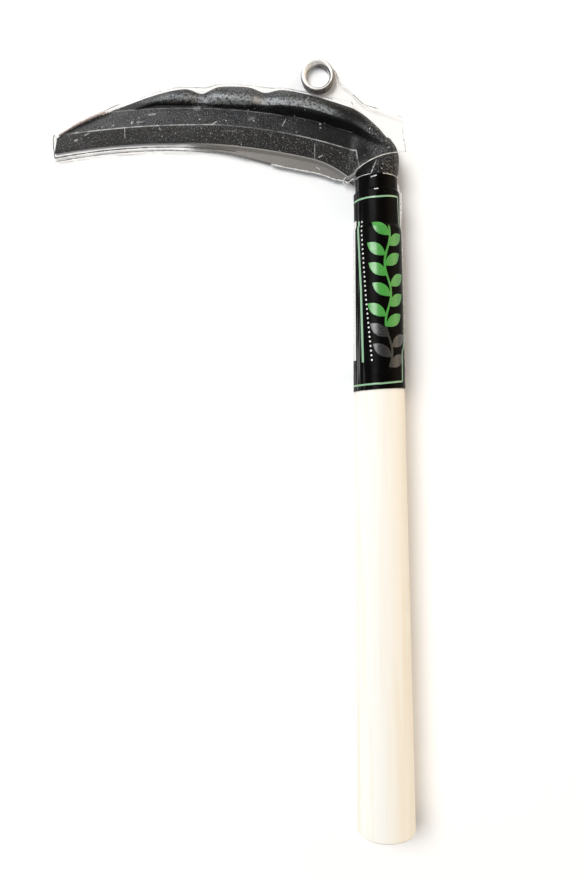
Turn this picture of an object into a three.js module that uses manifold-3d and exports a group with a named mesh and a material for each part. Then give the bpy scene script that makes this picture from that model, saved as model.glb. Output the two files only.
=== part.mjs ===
// A weeding sickle. One pressed steel sheet is ground to an edge, ribbed along its back and rolled
// into a socket at the neck. The socket holds the tenon of a turned wooden handle, under a ferrule
// and a cross pin, and a thin printed film wraps the joint. A guard of two clear welded sheets
// covers the blade, and hangs from a rolled metal eyelet.
// Millimetres, +Z up. The origin is the middle of the butt, the handle runs along +Y, and the
// blade reaches to -X with its edge towards the handle.

import * as THREE from "three";
import { mergeVertices } from "three/addons/utils/BufferGeometryUtils.js";
import Module from "manifold-3d";

const wasm = await Module();
wasm.setup();

// Fits
const fit_gap = 0.3;
const cut_overrun = 2;

// Handle
const handle_length = 321;
const butt_radius = 15.7;
const shoulder_radius = 12.5;
const butt_rounding = 1.5;
const shoulder_rounding = 0.8;
const tenon_length = 25;
const tenon_rounding = 1;

// Socket, rolled from the neck of the blade
const socket_radius = 10.7;
const socket_length = 31.2;
const socket_seam_gap = 1.2;
const neck_spread = 1.2;

// Ferrule and cross pin
const ferrule_length = 19.5;
const ferrule_wall = 0.7;
const pin_radius = 1.5;

// Printed film round the joint
const film_thickness = 0.2;
const film_length = 113;
const film_setback = 3.2;
const film_skew = 1.5;

// Blade, in plan: the edge is an arc whose crown lies crown_reach from the heel
const sheet_thickness = 1.6;
const blade_reach = 164.3;
const edge_radius = 345;
const crown_reach = 105.3;
const crown_rise = 22.7;
const heel_run = 22.4;
const heel_gap = 0.9;
const root_width = 34;
const tip_slant = 2;

// Blade, across: a ground bevel, a flat web and a hollow rib along the back
const bevel_width = 11.2;
const edge_land = 0.3;
const plunge_run = 1.5;
const web_width = 20.5;
const rib_height = 4.3;
const rib_run = 11;
const crimp_depth = 3.3;
const crimp_half_width = 6;

// Guard of two clear sheets
const guard_thickness = 0.5;
const drape_gap = 0.7;
const edge_stand_off = 2.4;
const edge_weld = 2.5;
const back_stand_off = 1.9;
const back_weld = 1;
const tip_stand_off = 1.2;
const heel_rim = 2.8;
const guard_side_room = 4.6;
const mouth_turn = 19.5;
const mouth_rise = 28;

// Eyelet and its washer
const eyelet_radius = 9.35;
const eyelet_hole_radius = 6.3;
const eyelet_wall = 0.5;
const eyelet_crown = 2.2;
const eyelet_lip = 0.3;
const eyelet_lip_width = 0.9;
const washer_thickness = 0.5;
const washer_radius = 9;
const eyelet_setback = 18.5;
const eyelet_stand_off = 11.6;
const tab_radius = 11.6;
const tab_flare_tip = 7;
const tab_flare_heel = 16;

// Shares of the blade's reach, from the tip, and of its root width
const width_place_shares = [0, 0.1, 0.25, 0.42, 0.6, 0.8, 1];
const width_shares = [0.24, 0.4, 0.62, 0.83, 0.93, 1, 0.97];
const crimp_place_shares = [0.5, 0.71];
const crimp_depth_shares = [1, 0.8];
const crimp_squash_shares = [0.8, 0.5];
const bevel_tip_share = 0.82;
const bevel_full_share = 0.4;
const tip_slant_share = 0.08;
const narrow_foot_share = 0.8;

// Shares across the rib, from its foot to the back, and of its height
const rib_place_shares = [0, 0.1, 0.22, 0.4, 0.62, 0.84, 1];
const rib_lift_shares = [0, 0.3, 0.82, 1, 0.93, 0.55, 0.1];

// Shares of the turn from the socket into the blade: of the width gained on the way, and where the
// two sides of the sheet begin to curl under the neck
const turn_place_shares = [0, 0.12, 0.25, 0.36, 0.5, 0.64, 0.78, 0.9, 1];
const turn_width_shares = [0, 0.057, 0.159, 0.236, 0.318, 0.433, 0.6, 0.81, 1];
const curl_start_share = 0.5;

// Shares of the blade's reach, from the tip, and of the guard's rim along the edge
const rim_place_shares = [0, 0.55, 0.76, 0.92, 1];
const rim_width_shares = [1, 1, 1.7, 1.5, 1];

// Counts
const round_sides = 36;
const eyelet_sides = 32;
const dome_steps = 5;
const bevel_steps = 2;
const web_steps = 4;
const rib_steps = 13;
const blade_steps = 30;
const crimp_refinement = 1.3;
const turn_steps = 15;
const guard_steps = 26;
const guard_tab_steps = 15;
const guard_turn_steps = 12;
const guard_across_steps = 17;
const guard_back_steps = 2;
const drape_radius_steps = 192;
const drape_angle_steps = 160;

const quarter_turn = Math.PI / 2;

// Places worked out from the sizes
const heel = new THREE.Vector2(-socket_radius - heel_gap, handle_length + fit_gap + socket_length);
const tip_x = heel.x - blade_reach;
const arc_centre = new THREE.Vector2(heel.x - crown_reach, heel.y + crown_rise - edge_radius);
const web_bottom = -socket_radius;
const ferrule_radius = socket_radius + fit_gap + ferrule_wall;
const pin_y = handle_length + fit_gap + ferrule_length / 2;

// A smooth curve through places and values, read at a place
function curveThrough(places, values) {
  const points = places.map((place, i) => new THREE.Vector2(place, values[i]));
  const slopes = points.map((point, i) => {
    const before = points[Math.max(i - 1, 0)];
    const after = points[Math.min(i + 1, points.length - 1)];
    return (after.y - before.y) / (after.x - before.x);
  });
  return (place) => {
    const last = points.length - 2;
    const found = points.findIndex((point, i) => i > last || place < points[i + 1].x);
    const i = Math.min(found, last);
    const span = points[i + 1].x - points[i].x;
    const s = THREE.MathUtils.clamp((place - points[i].x) / span, 0, 1);
    const bend = s * s * (3 - 2 * s);
    const lead = s * (1 - s) * (1 - s) * span * slopes[i];
    const trail = s * s * (1 - s) * span * slopes[i + 1];
    return points[i].y * (1 - bend) + points[i + 1].y * bend + lead - trail;
  };
}

const widthShareAt = curveThrough(width_place_shares, width_shares);
const ribLiftShareAt = curveThrough(rib_place_shares, rib_lift_shares);
const turnWidthShareAt = curveThrough(turn_place_shares, turn_width_shares);
const rimShareAt = curveThrough(rim_place_shares, rim_width_shares);

// The height of the edge's arc above the origin, at a place along the blade
function arcY(x, radius = edge_radius) {
  return arc_centre.y + Math.sqrt(radius * radius - (x - arc_centre.x) ** 2);
}

// The cutting edge leaves its arc near the heel and drops to it
function edgeY(x) {
  const heel_drop = arcY(heel.x) - heel.y;
  const share = THREE.MathUtils.clamp((x - heel.x + heel_run) / heel_run, 0, 1);
  return arcY(x) - heel_drop * share * share;
}

function shareAlong(x) {
  return (x - tip_x) / blade_reach;
}

// How far each crimp across the rib is pressed in, from 0 to 1
function crimpShares(x) {
  return crimp_place_shares.map((share) => {
    const away = (x - tip_x - share * blade_reach) / crimp_half_width;
    return Math.exp(-away * away);
  });
}

function fullBackY(x) {
  return arcY(x) + root_width * widthShareAt(shareAlong(x));
}

function backY(x) {
  const dip = crimpShares(x).reduce((sum, share, i) => sum + share * crimp_depth_shares[i], 0);
  return fullBackY(x) - crimp_depth * dip;
}

// The rib across the blade at x: the distance from the edge to its foot and to the back, and its lift
function ribAt(x) {
  const width = backY(x) - edgeY(x);
  const below_arc = arcY(x) - edgeY(x);
  const foot = Math.min(web_width + below_arc, width * narrow_foot_share);
  const fullness = THREE.MathUtils.smoothstep(width - below_arc - web_width, 0, rib_run);
  const squash = crimpShares(x).reduce((least, share, i) => {
    return Math.min(least, 1 - share * crimp_squash_shares[i]);
  }, 1);
  return { width, below_arc, foot, lift: rib_height * fullness * squash };
}

// The height of the sheet's middle across the blade, at a distance from the edge
function levelAcross(rib, a) {
  const share = THREE.MathUtils.clamp((a - rib.foot) / (rib.width - rib.foot), 0, 1);
  return web_bottom + sheet_thickness / 2 + rib.lift * ribLiftShareAt(share);
}

// The middle line of the sheet across the blade at x: distance from the edge, height and wall
function bladeProfile(x) {
  const rib = ribAt(x);
  const along = THREE.MathUtils.clamp(shareAlong(x) / bevel_full_share, 0, 1);
  const full_bevel = bevel_width * THREE.MathUtils.lerp(bevel_tip_share, 1, along);
  const ground = full_bevel + rib.below_arc;
  const plunge = THREE.MathUtils.clamp((heel.x - x) / plunge_run, 0, 1);
  const bevel = Math.min(ground, rib.foot * narrow_foot_share);
  const points = [];
  const addRun = (from, to, steps, last) => {
    for (let i = 0; i < steps + last; i += 1) {
      const a = THREE.MathUtils.lerp(from, to, i / steps);
      const ground_share = Math.min(a / ground, 1);
      const ground_wall = THREE.MathUtils.lerp(edge_land, sheet_thickness, ground_share);
      const wall = THREE.MathUtils.lerp(sheet_thickness, ground_wall, plunge);
      points.push({ a, z: levelAcross(rib, a), wall });
    }
  };
  addRun(0, bevel, bevel_steps, 0);
  addRun(bevel, rib.foot, web_steps, 0);
  addRun(rib.foot, rib.width, rib_steps, 1);
  return points;
}

// The neck, turned by a share from 0 at the socket to 1 at the blade. The sheet arches up out of the
// blade's flat line, and its two sides curl under until they meet at the socket's seam
function neckProfile(turn, spread = neck_spread) {
  const rib = ribAt(heel.x);
  const flat = bladeProfile(heel.x);
  const half_round = 2 * quarter_turn;
  const radius = socket_radius - sheet_thickness / 2;
  const arched = THREE.MathUtils.smoothstep(1 - turn, 0, 1);
  const rounded = 1 - (1 - arched) * (1 - arched);
  const round_reach = heel_gap + 2 * socket_radius + spread;
  const outer_reach = THREE.MathUtils.lerp(round_reach, rib.width, turnWidthShareAt(turn));
  const reach = outer_reach - heel_gap * arched - sheet_thickness * rounded;
  const curled = THREE.MathUtils.smoothstep(curl_start_share - turn, 0, curl_start_share);
  const under = (quarter_turn - socket_seam_gap / 2 / radius) / half_round;
  const points = flat.map((point, i) => {
    const round_place = THREE.MathUtils.lerp(-under, 1 + under, i / (flat.length - 1));
    const place = THREE.MathUtils.lerp(point.a / rib.width, round_place, curled);
    const above = place < 0 ? -place : Math.min(place, 2 - place);
    const angle = half_round * (1 - place);
    const across = THREE.MathUtils.lerp(above, (1 + Math.cos(angle)) / 2, rounded);
    const level = levelAcross(rib, THREE.MathUtils.clamp(place, 0, 1) * rib.width);
    return {
      a: reach * across,
      z: THREE.MathUtils.lerp(level, radius * Math.sin(angle), arched),
      wall: sheet_thickness,
    };
  });
  const nearest = Math.min(...facesOf(points).map((face) => Math.min(face.over.x, face.under.x)));
  return points.map((point) => ({ ...point, a: point.a + heel_gap * arched - nearest }));
}

// The two faces of the sheet on either side of a middle line
function facesOf(profile) {
  const last = profile.length - 1;
  return profile.map((point, i) => {
    const before = profile[Math.max(i - 1, 0)];
    const after = profile[Math.min(i + 1, last)];
    const along = new THREE.Vector2(after.a - before.a, after.z - before.z).normalize();
    const under = sheet_thickness / 2;
    const over = point.wall - under;
    return {
      over: new THREE.Vector2(point.a - along.y * over, point.z + along.x * over),
      under: new THREE.Vector2(point.a + along.y * under, point.z - along.x * under),
    };
  });
}

// Where the blade is cut across, from the tip to the plunge, closest over the crimps
function bladeStations() {
  const plunge_x = heel.x - plunge_run;
  const long_step = (plunge_x - tip_x) / blade_steps;
  const stations = [];
  let x = tip_x;
  while (x < plunge_x - long_step / 2) {
    stations.push(x);
    x += long_step / (1 + crimp_refinement * Math.max(...crimpShares(x + long_step / 2)));
  }
  return [...stations, plunge_x];
}

// Every section of the blade, from the tip to the end of the socket
function bladeSections() {
  const sections = [];
  const add = (profile, x, y, turn, slant) => {
    const across = new THREE.Vector2(Math.cos(turn * quarter_turn), Math.sin(turn * quarter_turn));
    const width = profile[profile.length - 1].a;
    const placeOf = (point) => {
      const lean = (slant * point.x) / width;
      return new THREE.Vector3(x + across.x * point.x + lean, y + across.y * point.x, point.y);
    };
    const faces = facesOf(profile);
    sections.push({
      over: faces.map((face) => placeOf(face.over)),
      under: faces.map((face) => placeOf(face.under)),
    });
  };
  bladeStations().forEach((x) => {
    const slant = tip_slant * Math.max(0, 1 - shareAlong(x) / tip_slant_share);
    add(bladeProfile(x), x, edgeY(x), 1, slant);
  });
  for (let i = 0; i <= turn_steps; i += 1) {
    const turn = 1 - i / turn_steps;
    add(neckProfile(turn), heel.x, heel.y, turn, 0);
  }
  add(neckProfile(0, 0), heel.x, heel.y - film_setback, 0, 0);
  add(neckProfile(0, 0), heel.x, heel.y - socket_length, 0, 0);
  return sections;
}

// A closed plate between two grids of points of the same size
function plateGeometry(over, under) {
  const rows = over.length;
  const columns = over[0].length;
  const positions = [];
  const indices = [];
  const at = (side, row, column) => side * rows * columns + row * columns + column;
  for (const grid of [over, under]) {
    for (const row of grid) {
      row.forEach((point) => positions.push(point.x, point.y, point.z));
    }
  }
  const quad = (a, b, c, d) => indices.push(a, b, c, a, c, d);
  for (let r = 0; r < rows - 1; r += 1) {
    for (let c = 0; c < columns - 1; c += 1) {
      quad(at(0, r, c), at(0, r + 1, c), at(0, r + 1, c + 1), at(0, r, c + 1));
      quad(at(1, r, c), at(1, r, c + 1), at(1, r + 1, c + 1), at(1, r + 1, c));
    }
    const end = columns - 1;
    quad(at(0, r, 0), at(1, r, 0), at(1, r + 1, 0), at(0, r + 1, 0));
    quad(at(0, r, end), at(0, r + 1, end), at(1, r + 1, end), at(1, r, end));
  }
  for (let c = 0; c < columns - 1; c += 1) {
    const end = rows - 1;
    quad(at(0, 0, c), at(0, 0, c + 1), at(1, 0, c + 1), at(1, 0, c));
    quad(at(0, end, c), at(1, end, c), at(1, end, c + 1), at(0, end, c + 1));
  }
  const geometry = new THREE.BufferGeometry();
  geometry.setAttribute("position", new THREE.Float32BufferAttribute(positions, 3));
  geometry.setIndex(indices);
  return facingOut(geometry);
}

// Turns every face round when the closed shape encloses a negative volume
function facingOut(geometry) {
  const place = geometry.getAttribute("position");
  const index = geometry.getIndex().array;
  const corners = [new THREE.Vector3(), new THREE.Vector3(), new THREE.Vector3()];
  let volume = 0;
  for (let i = 0; i < index.length; i += 3) {
    corners.forEach((corner, k) => corner.fromBufferAttribute(place, index[i + k]));
    volume += corners[0].dot(corners[1].clone().cross(corners[2]));
  }
  if (volume < 0) {
    for (let i = 0; i < index.length; i += 3) {
      const kept = index[i + 1];
      index[i + 1] = index[i + 2];
      index[i + 2] = kept;
    }
  }
  return geometry;
}

function solidOf(geometry) {
  const bare = geometry.clone();
  bare.deleteAttribute("normal");
  bare.deleteAttribute("uv");
  const merged = mergeVertices(bare);
  const mesh = new wasm.Mesh({
    numProp: 3,
    vertProperties: new Float32Array(merged.getAttribute("position").array),
    triVerts: new Uint32Array(merged.getIndex().array),
  });
  return new wasm.Manifold(mesh);
}

function geometryOf(solid) {
  const mesh = solid.getMesh();
  const geometry = new THREE.BufferGeometry();
  geometry.setAttribute("position", new THREE.BufferAttribute(mesh.vertProperties, 3));
  geometry.setIndex(new THREE.BufferAttribute(mesh.triVerts, 1));
  return geometry;
}

function cutFrom(geometry, ...tools) {
  return geometryOf(tools.reduce((solid, tool) => solid.subtract(solidOf(tool)), solidOf(geometry)));
}

// A solid turned about the handle's axis from radius and height pairs
function turned(pairs, sides = round_sides) {
  const points = pairs.map(([radius, y]) => new THREE.Vector2(radius, y));
  return facingOut(new THREE.LatheGeometry(points, sides));
}

// The points of a rounded corner, from one angle to another
function rounding(radius, y, size, from, to, steps = 4) {
  const pairs = [];
  for (let i = 0; i <= steps; i += 1) {
    const angle = THREE.MathUtils.lerp(from, to, i / steps);
    pairs.push([radius + size * Math.cos(angle), y + size * Math.sin(angle)]);
  }
  return pairs;
}

// A cutter or pin that stands along Z at a place
function uprightRod(radius, length, x, y, z, sides = 24) {
  const rod = new THREE.CylinderGeometry(radius, radius, length, sides);
  rod.rotateX(quarter_turn);
  rod.translate(x, y, z);
  return rod;
}

function pinHole() {
  return uprightRod(pin_radius + fit_gap, 2 * (butt_radius + cut_overrun), 0, pin_y, 0);
}

function handleGeometry() {
  const tenon_radius = socket_radius - sheet_thickness - fit_gap;
  const tenon_end = handle_length + tenon_length;
  const profile = [
    [0, 0],
    ...rounding(butt_radius - butt_rounding, butt_rounding, butt_rounding, -quarter_turn, 0),
    ...rounding(
      shoulder_radius - shoulder_rounding,
      handle_length - shoulder_rounding,
      shoulder_rounding,
      0,
      quarter_turn,
    ),
    [tenon_radius, handle_length],
    ...rounding(
      tenon_radius - tenon_rounding,
      tenon_end - tenon_rounding,
      tenon_rounding,
      0,
      quarter_turn,
    ),
    [0, tenon_end],
  ];
  return cutFrom(turned(profile), pinHole());
}

function ferruleGeometry() {
  const inside = socket_radius + fit_gap;
  const start = handle_length + fit_gap;
  const edge = ferrule_wall / 3;
  const end = start + ferrule_length;
  const ring = turned([
    [inside, start],
    [ferrule_radius - edge, start],
    [ferrule_radius, start + edge],
    [ferrule_radius, end - edge],
    [ferrule_radius - edge, end],
    [inside, end],
    [inside, start],
  ]);
  return cutFrom(ring, pinHole());
}

function pinGeometry() {
  return uprightRod(pin_radius, 2 * ferrule_radius - ferrule_wall, 0, pin_y, 0);
}

// The handle's cone, read at a distance from the butt
function handleRadius(y) {
  const share = (y - butt_rounding) / (handle_length - shoulder_rounding - butt_rounding);
  return THREE.MathUtils.lerp(butt_radius, shoulder_radius, share);
}

// The film follows the socket, the ferrule and the handle, one clearance off each
function filmGeometry() {
  const top = heel.y - film_setback;
  const bottom = top - film_length;
  const ferrule_top = handle_length + fit_gap + ferrule_length + fit_gap;
  const step = ferrule_wall + fit_gap;
  const inside = [
    [handleRadius(bottom) + fit_gap, bottom],
    [handleRadius(handle_length) + fit_gap, handle_length - shoulder_rounding],
    [shoulder_radius + fit_gap, handle_length + fit_gap],
    [ferrule_radius + fit_gap, handle_length + fit_gap + step * 2],
    [ferrule_radius + fit_gap, ferrule_top],
    [socket_radius + fit_gap, ferrule_top + step],
    [socket_radius + fit_gap, top],
  ];
  const outside = inside.map(([radius, y]) => [radius + film_thickness, y]).reverse();
  const sleeve = turned([...inside, ...outside, inside[0]]);
  const place = sleeve.getAttribute("position");
  const low = bottom + film_skew / 2;
  for (let i = 0; i < place.count; i += 1) {
    if (place.getY(i) < low) {
      place.setY(i, place.getY(i) + (film_skew / 2) * (place.getX(i) / butt_radius));
    }
  }
  return sleeve;
}

function bladeGeometry() {
  const sections = bladeSections();
  const plate = plateGeometry(
    sections.map((section) => section.over),
    sections.map((section) => section.under),
  );
  return cutFrom(plate, pinHole());
}

// The highest point of the steel above a place in plan, or the web's underside where there is none
function steelTopAt(x, y) {
  const in_blade = x <= heel.x;
  const profile = in_blade ? bladeProfile(x) : neckProfile(neckTurnAt(x, y));
  const reach = Math.hypot(x - heel.x, Math.max(y - heel.y, 0));
  const a = in_blade ? y - edgeY(x) : reach;
  const faces = facesOf(profile).map((face) => face.over);
  let top = web_bottom;
  for (let i = 0; i < faces.length - 1; i += 1) {
    const low = Math.min(faces[i].x, faces[i + 1].x);
    const high = Math.max(faces[i].x, faces[i + 1].x);
    if (a >= low && a <= high) {
      const share = high > low ? (a - faces[i].x) / (faces[i + 1].x - faces[i].x) : 0;
      top = Math.max(top, THREE.MathUtils.lerp(faces[i].y, faces[i + 1].y, share));
    }
  }
  return top;
}

function neckTurnAt(x, y) {
  return THREE.MathUtils.clamp(Math.atan2(y - heel.y, x - heel.x) / quarter_turn, 0, 1);
}

// The steel's height round the edge's centre, swept from the tip to the heel, so that a sheet laid
// on it can be drawn off over the tip without touching the steel
function sweptSteel() {
  const inner = edge_radius - root_width;
  const outer = edge_radius + 2 * root_width;
  const angleOf = (x, y) => Math.atan2(y - arc_centre.y, x - arc_centre.x);
  const first = angleOf(tip_x - tip_stand_off - back_weld, edgeY(tip_x));
  const last = angleOf(socket_radius + guard_side_room, heel.y - root_width);
  const table = [];
  for (let k = 0; k <= drape_angle_steps; k += 1) {
    const angle = THREE.MathUtils.lerp(first, last, k / drape_angle_steps);
    const row = [];
    for (let j = 0; j <= drape_radius_steps; j += 1) {
      const radius = THREE.MathUtils.lerp(inner, outer, j / drape_radius_steps);
      const x = arc_centre.x + radius * Math.cos(angle);
      const y = arc_centre.y + radius * Math.sin(angle);
      const here = x > tip_x ? steelTopAt(x, y) : web_bottom;
      row.push(k > 0 ? Math.max(here, table[k - 1][j]) : here);
    }
    table.push(row);
  }
  return (x, y) => {
    const radius = Math.hypot(x - arc_centre.x, y - arc_centre.y);
    const j = ((radius - inner) / (outer - inner)) * drape_radius_steps;
    const k = ((angleOf(x, y) - first) / (last - first)) * drape_angle_steps;
    let top = web_bottom;
    for (let near_k = Math.floor(k) - 2; near_k <= Math.ceil(k) + 2; near_k += 1) {
      for (let near_j = Math.floor(j) - 1; near_j <= Math.ceil(j) + 1; near_j += 1) {
        const row = table[THREE.MathUtils.clamp(near_k, 0, drape_angle_steps)];
        top = Math.max(top, row[THREE.MathUtils.clamp(near_j, 0, drape_radius_steps)]);
      }
    }
    return top;
  };
}

// The back line that the guard keeps: it never comes nearer to the arc's centre towards the heel
function guardBackRadius(x) {
  let radius = edge_radius;
  const end = Math.min(x, heel.x);
  for (let i = 0; i <= blade_steps; i += 1) {
    const place = THREE.MathUtils.lerp(tip_x, end, i / blade_steps);
    radius = Math.max(radius, Math.hypot(place - arc_centre.x, fullBackY(place) - arc_centre.y));
  }
  return radius;
}

const back_limit = guardBackRadius(heel.x);
const eyelet_x = heel.x - eyelet_setback;
const eyelet_y = arcY(eyelet_x, back_limit + eyelet_stand_off);

// How far the hanging tab stands out of the guard's back rim at x
function tabReach(x) {
  const away = x - eyelet_x;
  const flare = away < 0 ? tab_flare_tip : tab_flare_heel;
  const beyond = Math.abs(away) - tab_radius;
  const stand = eyelet_stand_off - back_stand_off - back_weld;
  if (beyond > 0) {
    return stand * Math.max(0, 1 - beyond / flare);
  }
  return stand + Math.sqrt(tab_radius * tab_radius - away * away);
}

// The guard's cross lines, each from its rim along the edge to its rim along the back. Those round
// the heel bow towards the steeper rise that the mouth has where it starts
function guardLines() {
  const lines = [];
  const tab_start = eyelet_x - tab_radius - tab_flare_tip;
  const addAt = (x) => {
    const held = Math.max(x, tip_x);
    const rim_share = rimShareAt(THREE.MathUtils.clamp(shareAlong(x), 0, 1));
    const full_rim = (edge_stand_off + edge_weld) * rim_share;
    const near_heel = THREE.MathUtils.smoothstep(x, heel.x - heel_run / 2, heel.x);
    const low_rim = THREE.MathUtils.lerp(full_rim, heel_rim, near_heel);
    const low = edgeY(x) - low_rim;
    const back = guardBackRadius(held) + back_stand_off;
    lines.push({
      from: new THREE.Vector2(x, low),
      to: new THREE.Vector2(x, arcY(x, back + back_weld) + tabReach(x)),
      weld: low_rim / 2,
      shoulder: arcY(x, back) - low,
      bow: 0,
    });
  };
  for (let i = 0; i <= guard_steps; i += 1) {
    addAt(THREE.MathUtils.lerp(tip_x - tip_stand_off, tab_start, i / guard_steps));
  }
  for (let i = 1; i <= guard_tab_steps; i += 1) {
    addAt(THREE.MathUtils.lerp(tab_start, heel.x, i / guard_tab_steps));
  }
  const side = socket_radius + guard_side_room;
  for (let i = 1; i <= guard_turn_steps; i += 1) {
    const share = i / guard_turn_steps;
    const angle = THREE.MathUtils.lerp(90, mouth_turn, share) * THREE.MathUtils.DEG2RAD;
    const ray = new THREE.Vector2(Math.cos(angle), Math.sin(angle));
    const to_side = (side - heel.x) / Math.max(ray.x, 0.001);
    const to_back = distanceToBack(ray, back_limit + back_stand_off);
    const to_rim = distanceToBack(ray, back_limit + back_stand_off + back_weld);
    const reach = Math.min(to_side, to_rim + tabReach(heel.x + ray.x * to_rim));
    const low = heel_rim * (1 - share);
    lines.push({
      from: new THREE.Vector2(heel.x + (heel_gap / 2) * share, heel.y - low - fit_gap * share),
      to: new THREE.Vector2(heel.x + ray.x * reach, heel.y + ray.y * reach),
      weld: Math.max(low / 2, fit_gap),
      shoulder: Math.min(to_side - back_weld, to_back),
      bow: (mouth_rise - mouth_turn) * share * THREE.MathUtils.DEG2RAD,
    });
  }
  return lines;
}

// How far a ray from the heel runs before it meets a circle round the arc's centre
function distanceToBack(ray, radius) {
  const start = heel.clone().sub(arc_centre);
  const along = start.dot(ray);
  return -along + Math.sqrt(along * along - start.lengthSq() + radius * radius);
}

// Points along a cross line: the weld along the edge, even steps over the blade, and the back weld
function placesAlong(line, steps) {
  const length = line.to.distanceTo(line.from);
  const places = [0, line.weld];
  for (let i = 1; i <= steps; i += 1) {
    places.push(THREE.MathUtils.lerp(line.weld, line.shoulder, i / steps));
  }
  places.push((line.shoulder + length) / 2, length);
  return places.map((place) => {
    const swing = line.bow * (1 - (place / length) * (place / length));
    return line.from.clone().lerp(line.to, place / length).rotateAround(heel, swing);
  });
}

// Moves a grid of points off itself by a wall, along its own normals
function offsetGrid(grid, wall) {
  const rows = grid.length;
  const columns = grid[0].length;
  return grid.map((row, r) => row.map((point, c) => {
    const before = grid[Math.max(r - 1, 0)][c];
    const after = grid[Math.min(r + 1, rows - 1)][c];
    const left = row[Math.max(c - 1, 0)];
    const right = row[Math.min(c + 1, columns - 1)];
    const normal = after.clone().sub(before).cross(right.clone().sub(left)).normalize();
    return point.clone().addScaledVector(normal, normal.z < 0 ? -wall : wall);
  }));
}

function eyeletHole() {
  const radius = eyelet_hole_radius + eyelet_wall + fit_gap;
  return uprightRod(radius, 4 * socket_radius, eyelet_x, eyelet_y, web_bottom, eyelet_sides);
}

const back_sheet_top = web_bottom - fit_gap;
const weld_level = back_sheet_top + fit_gap;

// The front sheet lies on the steel where there is any and on the back sheet where there is none
function guardFrontGeometry() {
  const steelUnder = sweptSteel();
  const under = guardLines().map((line) => placesAlong(line, guard_across_steps).map((place) => {
    const steel = steelUnder(place.x, place.y);
    const z = steel > web_bottom ? steel + drape_gap : weld_level;
    return new THREE.Vector3(place.x, place.y, z);
  }));
  return cutFrom(plateGeometry(offsetGrid(under, guard_thickness), under), eyeletHole());
}

function guardBackGeometry() {
  const under = guardLines().map((line) => placesAlong(line, guard_back_steps).map((place) => {
    return new THREE.Vector3(place.x, place.y, back_sheet_top - guard_thickness);
  }));
  return cutFrom(plateGeometry(offsetGrid(under, guard_thickness), under), eyeletHole());
}

// A ring turned about Z at the eyelet from radius and height pairs
function turnedAtEyelet(pairs) {
  const ring = turned(pairs, eyelet_sides);
  ring.rotateX(quarter_turn);
  ring.translate(eyelet_x, eyelet_y, 0);
  return ring;
}

const washer_top = back_sheet_top - guard_thickness - fit_gap;

// A barrel that rolls out into a domed flange above and a short lip under the washer
function eyeletGeometry() {
  const seat = weld_level + guard_thickness + fit_gap;
  const lip_top = washer_top - washer_thickness - fit_gap;
  const barrel = eyelet_hole_radius + eyelet_wall;
  const half = (eyelet_radius - eyelet_hole_radius) / 2;
  const middle = eyelet_hole_radius + half;
  const dome = (inset) => {
    const pairs = [];
    for (let i = 0; i <= dome_steps; i += 1) {
      const angle = (2 * quarter_turn * i) / dome_steps;
      const radius = middle - (half - inset) * Math.cos(angle);
      pairs.push([radius, seat + (eyelet_crown - inset) * Math.sin(angle)]);
    }
    return pairs;
  };
  return turnedAtEyelet([
    [eyelet_hole_radius, lip_top - eyelet_lip],
    ...dome(0),
    ...dome(eyelet_wall).reverse(),
    [barrel, lip_top],
    [barrel + eyelet_lip_width, lip_top],
    [barrel + eyelet_lip_width, lip_top - eyelet_lip],
    [eyelet_hole_radius, lip_top - eyelet_lip],
  ]);
}

function washerGeometry() {
  const inside = eyelet_hole_radius + eyelet_wall + fit_gap;
  const bottom = washer_top - washer_thickness;
  return turnedAtEyelet([
    [inside, bottom],
    [washer_radius, bottom],
    [washer_radius, washer_top],
    [inside, washer_top],
    [inside, bottom],
  ]);
}

const black_steel = { color: 0x343b40, roughness: 0.5, metalness: 0.75 };
const bright_steel = { color: 0x9a9c9e, roughness: 0.35, metalness: 1 };
const nickel = { color: 0xd8d5cc, roughness: 0.2, metalness: 1 };
const pale_wood = { color: 0xf2e3c6, roughness: 0.65, metalness: 0 };
const black_film = { color: 0x0b0d0d, roughness: 0.2, metalness: 0 };
const clear_film = { color: 0xe6eef0, roughness: 0.12, metalness: 0, transparent: true, opacity: 0.3 };

function piece(name, geometry, finish) {
  const mesh = new THREE.Mesh(geometry, new THREE.MeshStandardMaterial(finish));
  mesh.name = name;
  return mesh;
}

const tool = new THREE.Group();
tool.add(
  piece("blade", bladeGeometry(), black_steel),
  piece("handle", handleGeometry(), pale_wood),
  piece("ferrule", ferruleGeometry(), bright_steel),
  piece("socket_pin", pinGeometry(), bright_steel),
  piece("label_film", filmGeometry(), black_film),
);

const guard = new THREE.Group();
guard.add(
  piece("guard_front_sheet", guardFrontGeometry(), clear_film),
  piece("guard_back_sheet", guardBackGeometry(), clear_film),
  piece("eyelet", eyeletGeometry(), nickel),
  piece("eyelet_washer", washerGeometry(), nickel),
);

const sickle = new THREE.Group();
sickle.add(tool, guard);

export default sickle;
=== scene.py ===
"""Dresses a packed weeding sickle: blackened ribbed blade, pale handle, printed film and clear guard.

Everything is in metres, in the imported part's own frame: the handle runs along +Y from the middle of
its butt, the blade reaches to -X and the ground bevel looks up along +Z.
"""
import logging
import math
from dataclasses import dataclass, field
from enum import Enum
from typing import Callable, Sequence

import bpy
import numpy as np
from bpy.types import ID, Material, Mesh, Node, NodeSocket, NodeTree, Object
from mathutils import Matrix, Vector
from mathutils.bvhtree import BVHTree


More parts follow.
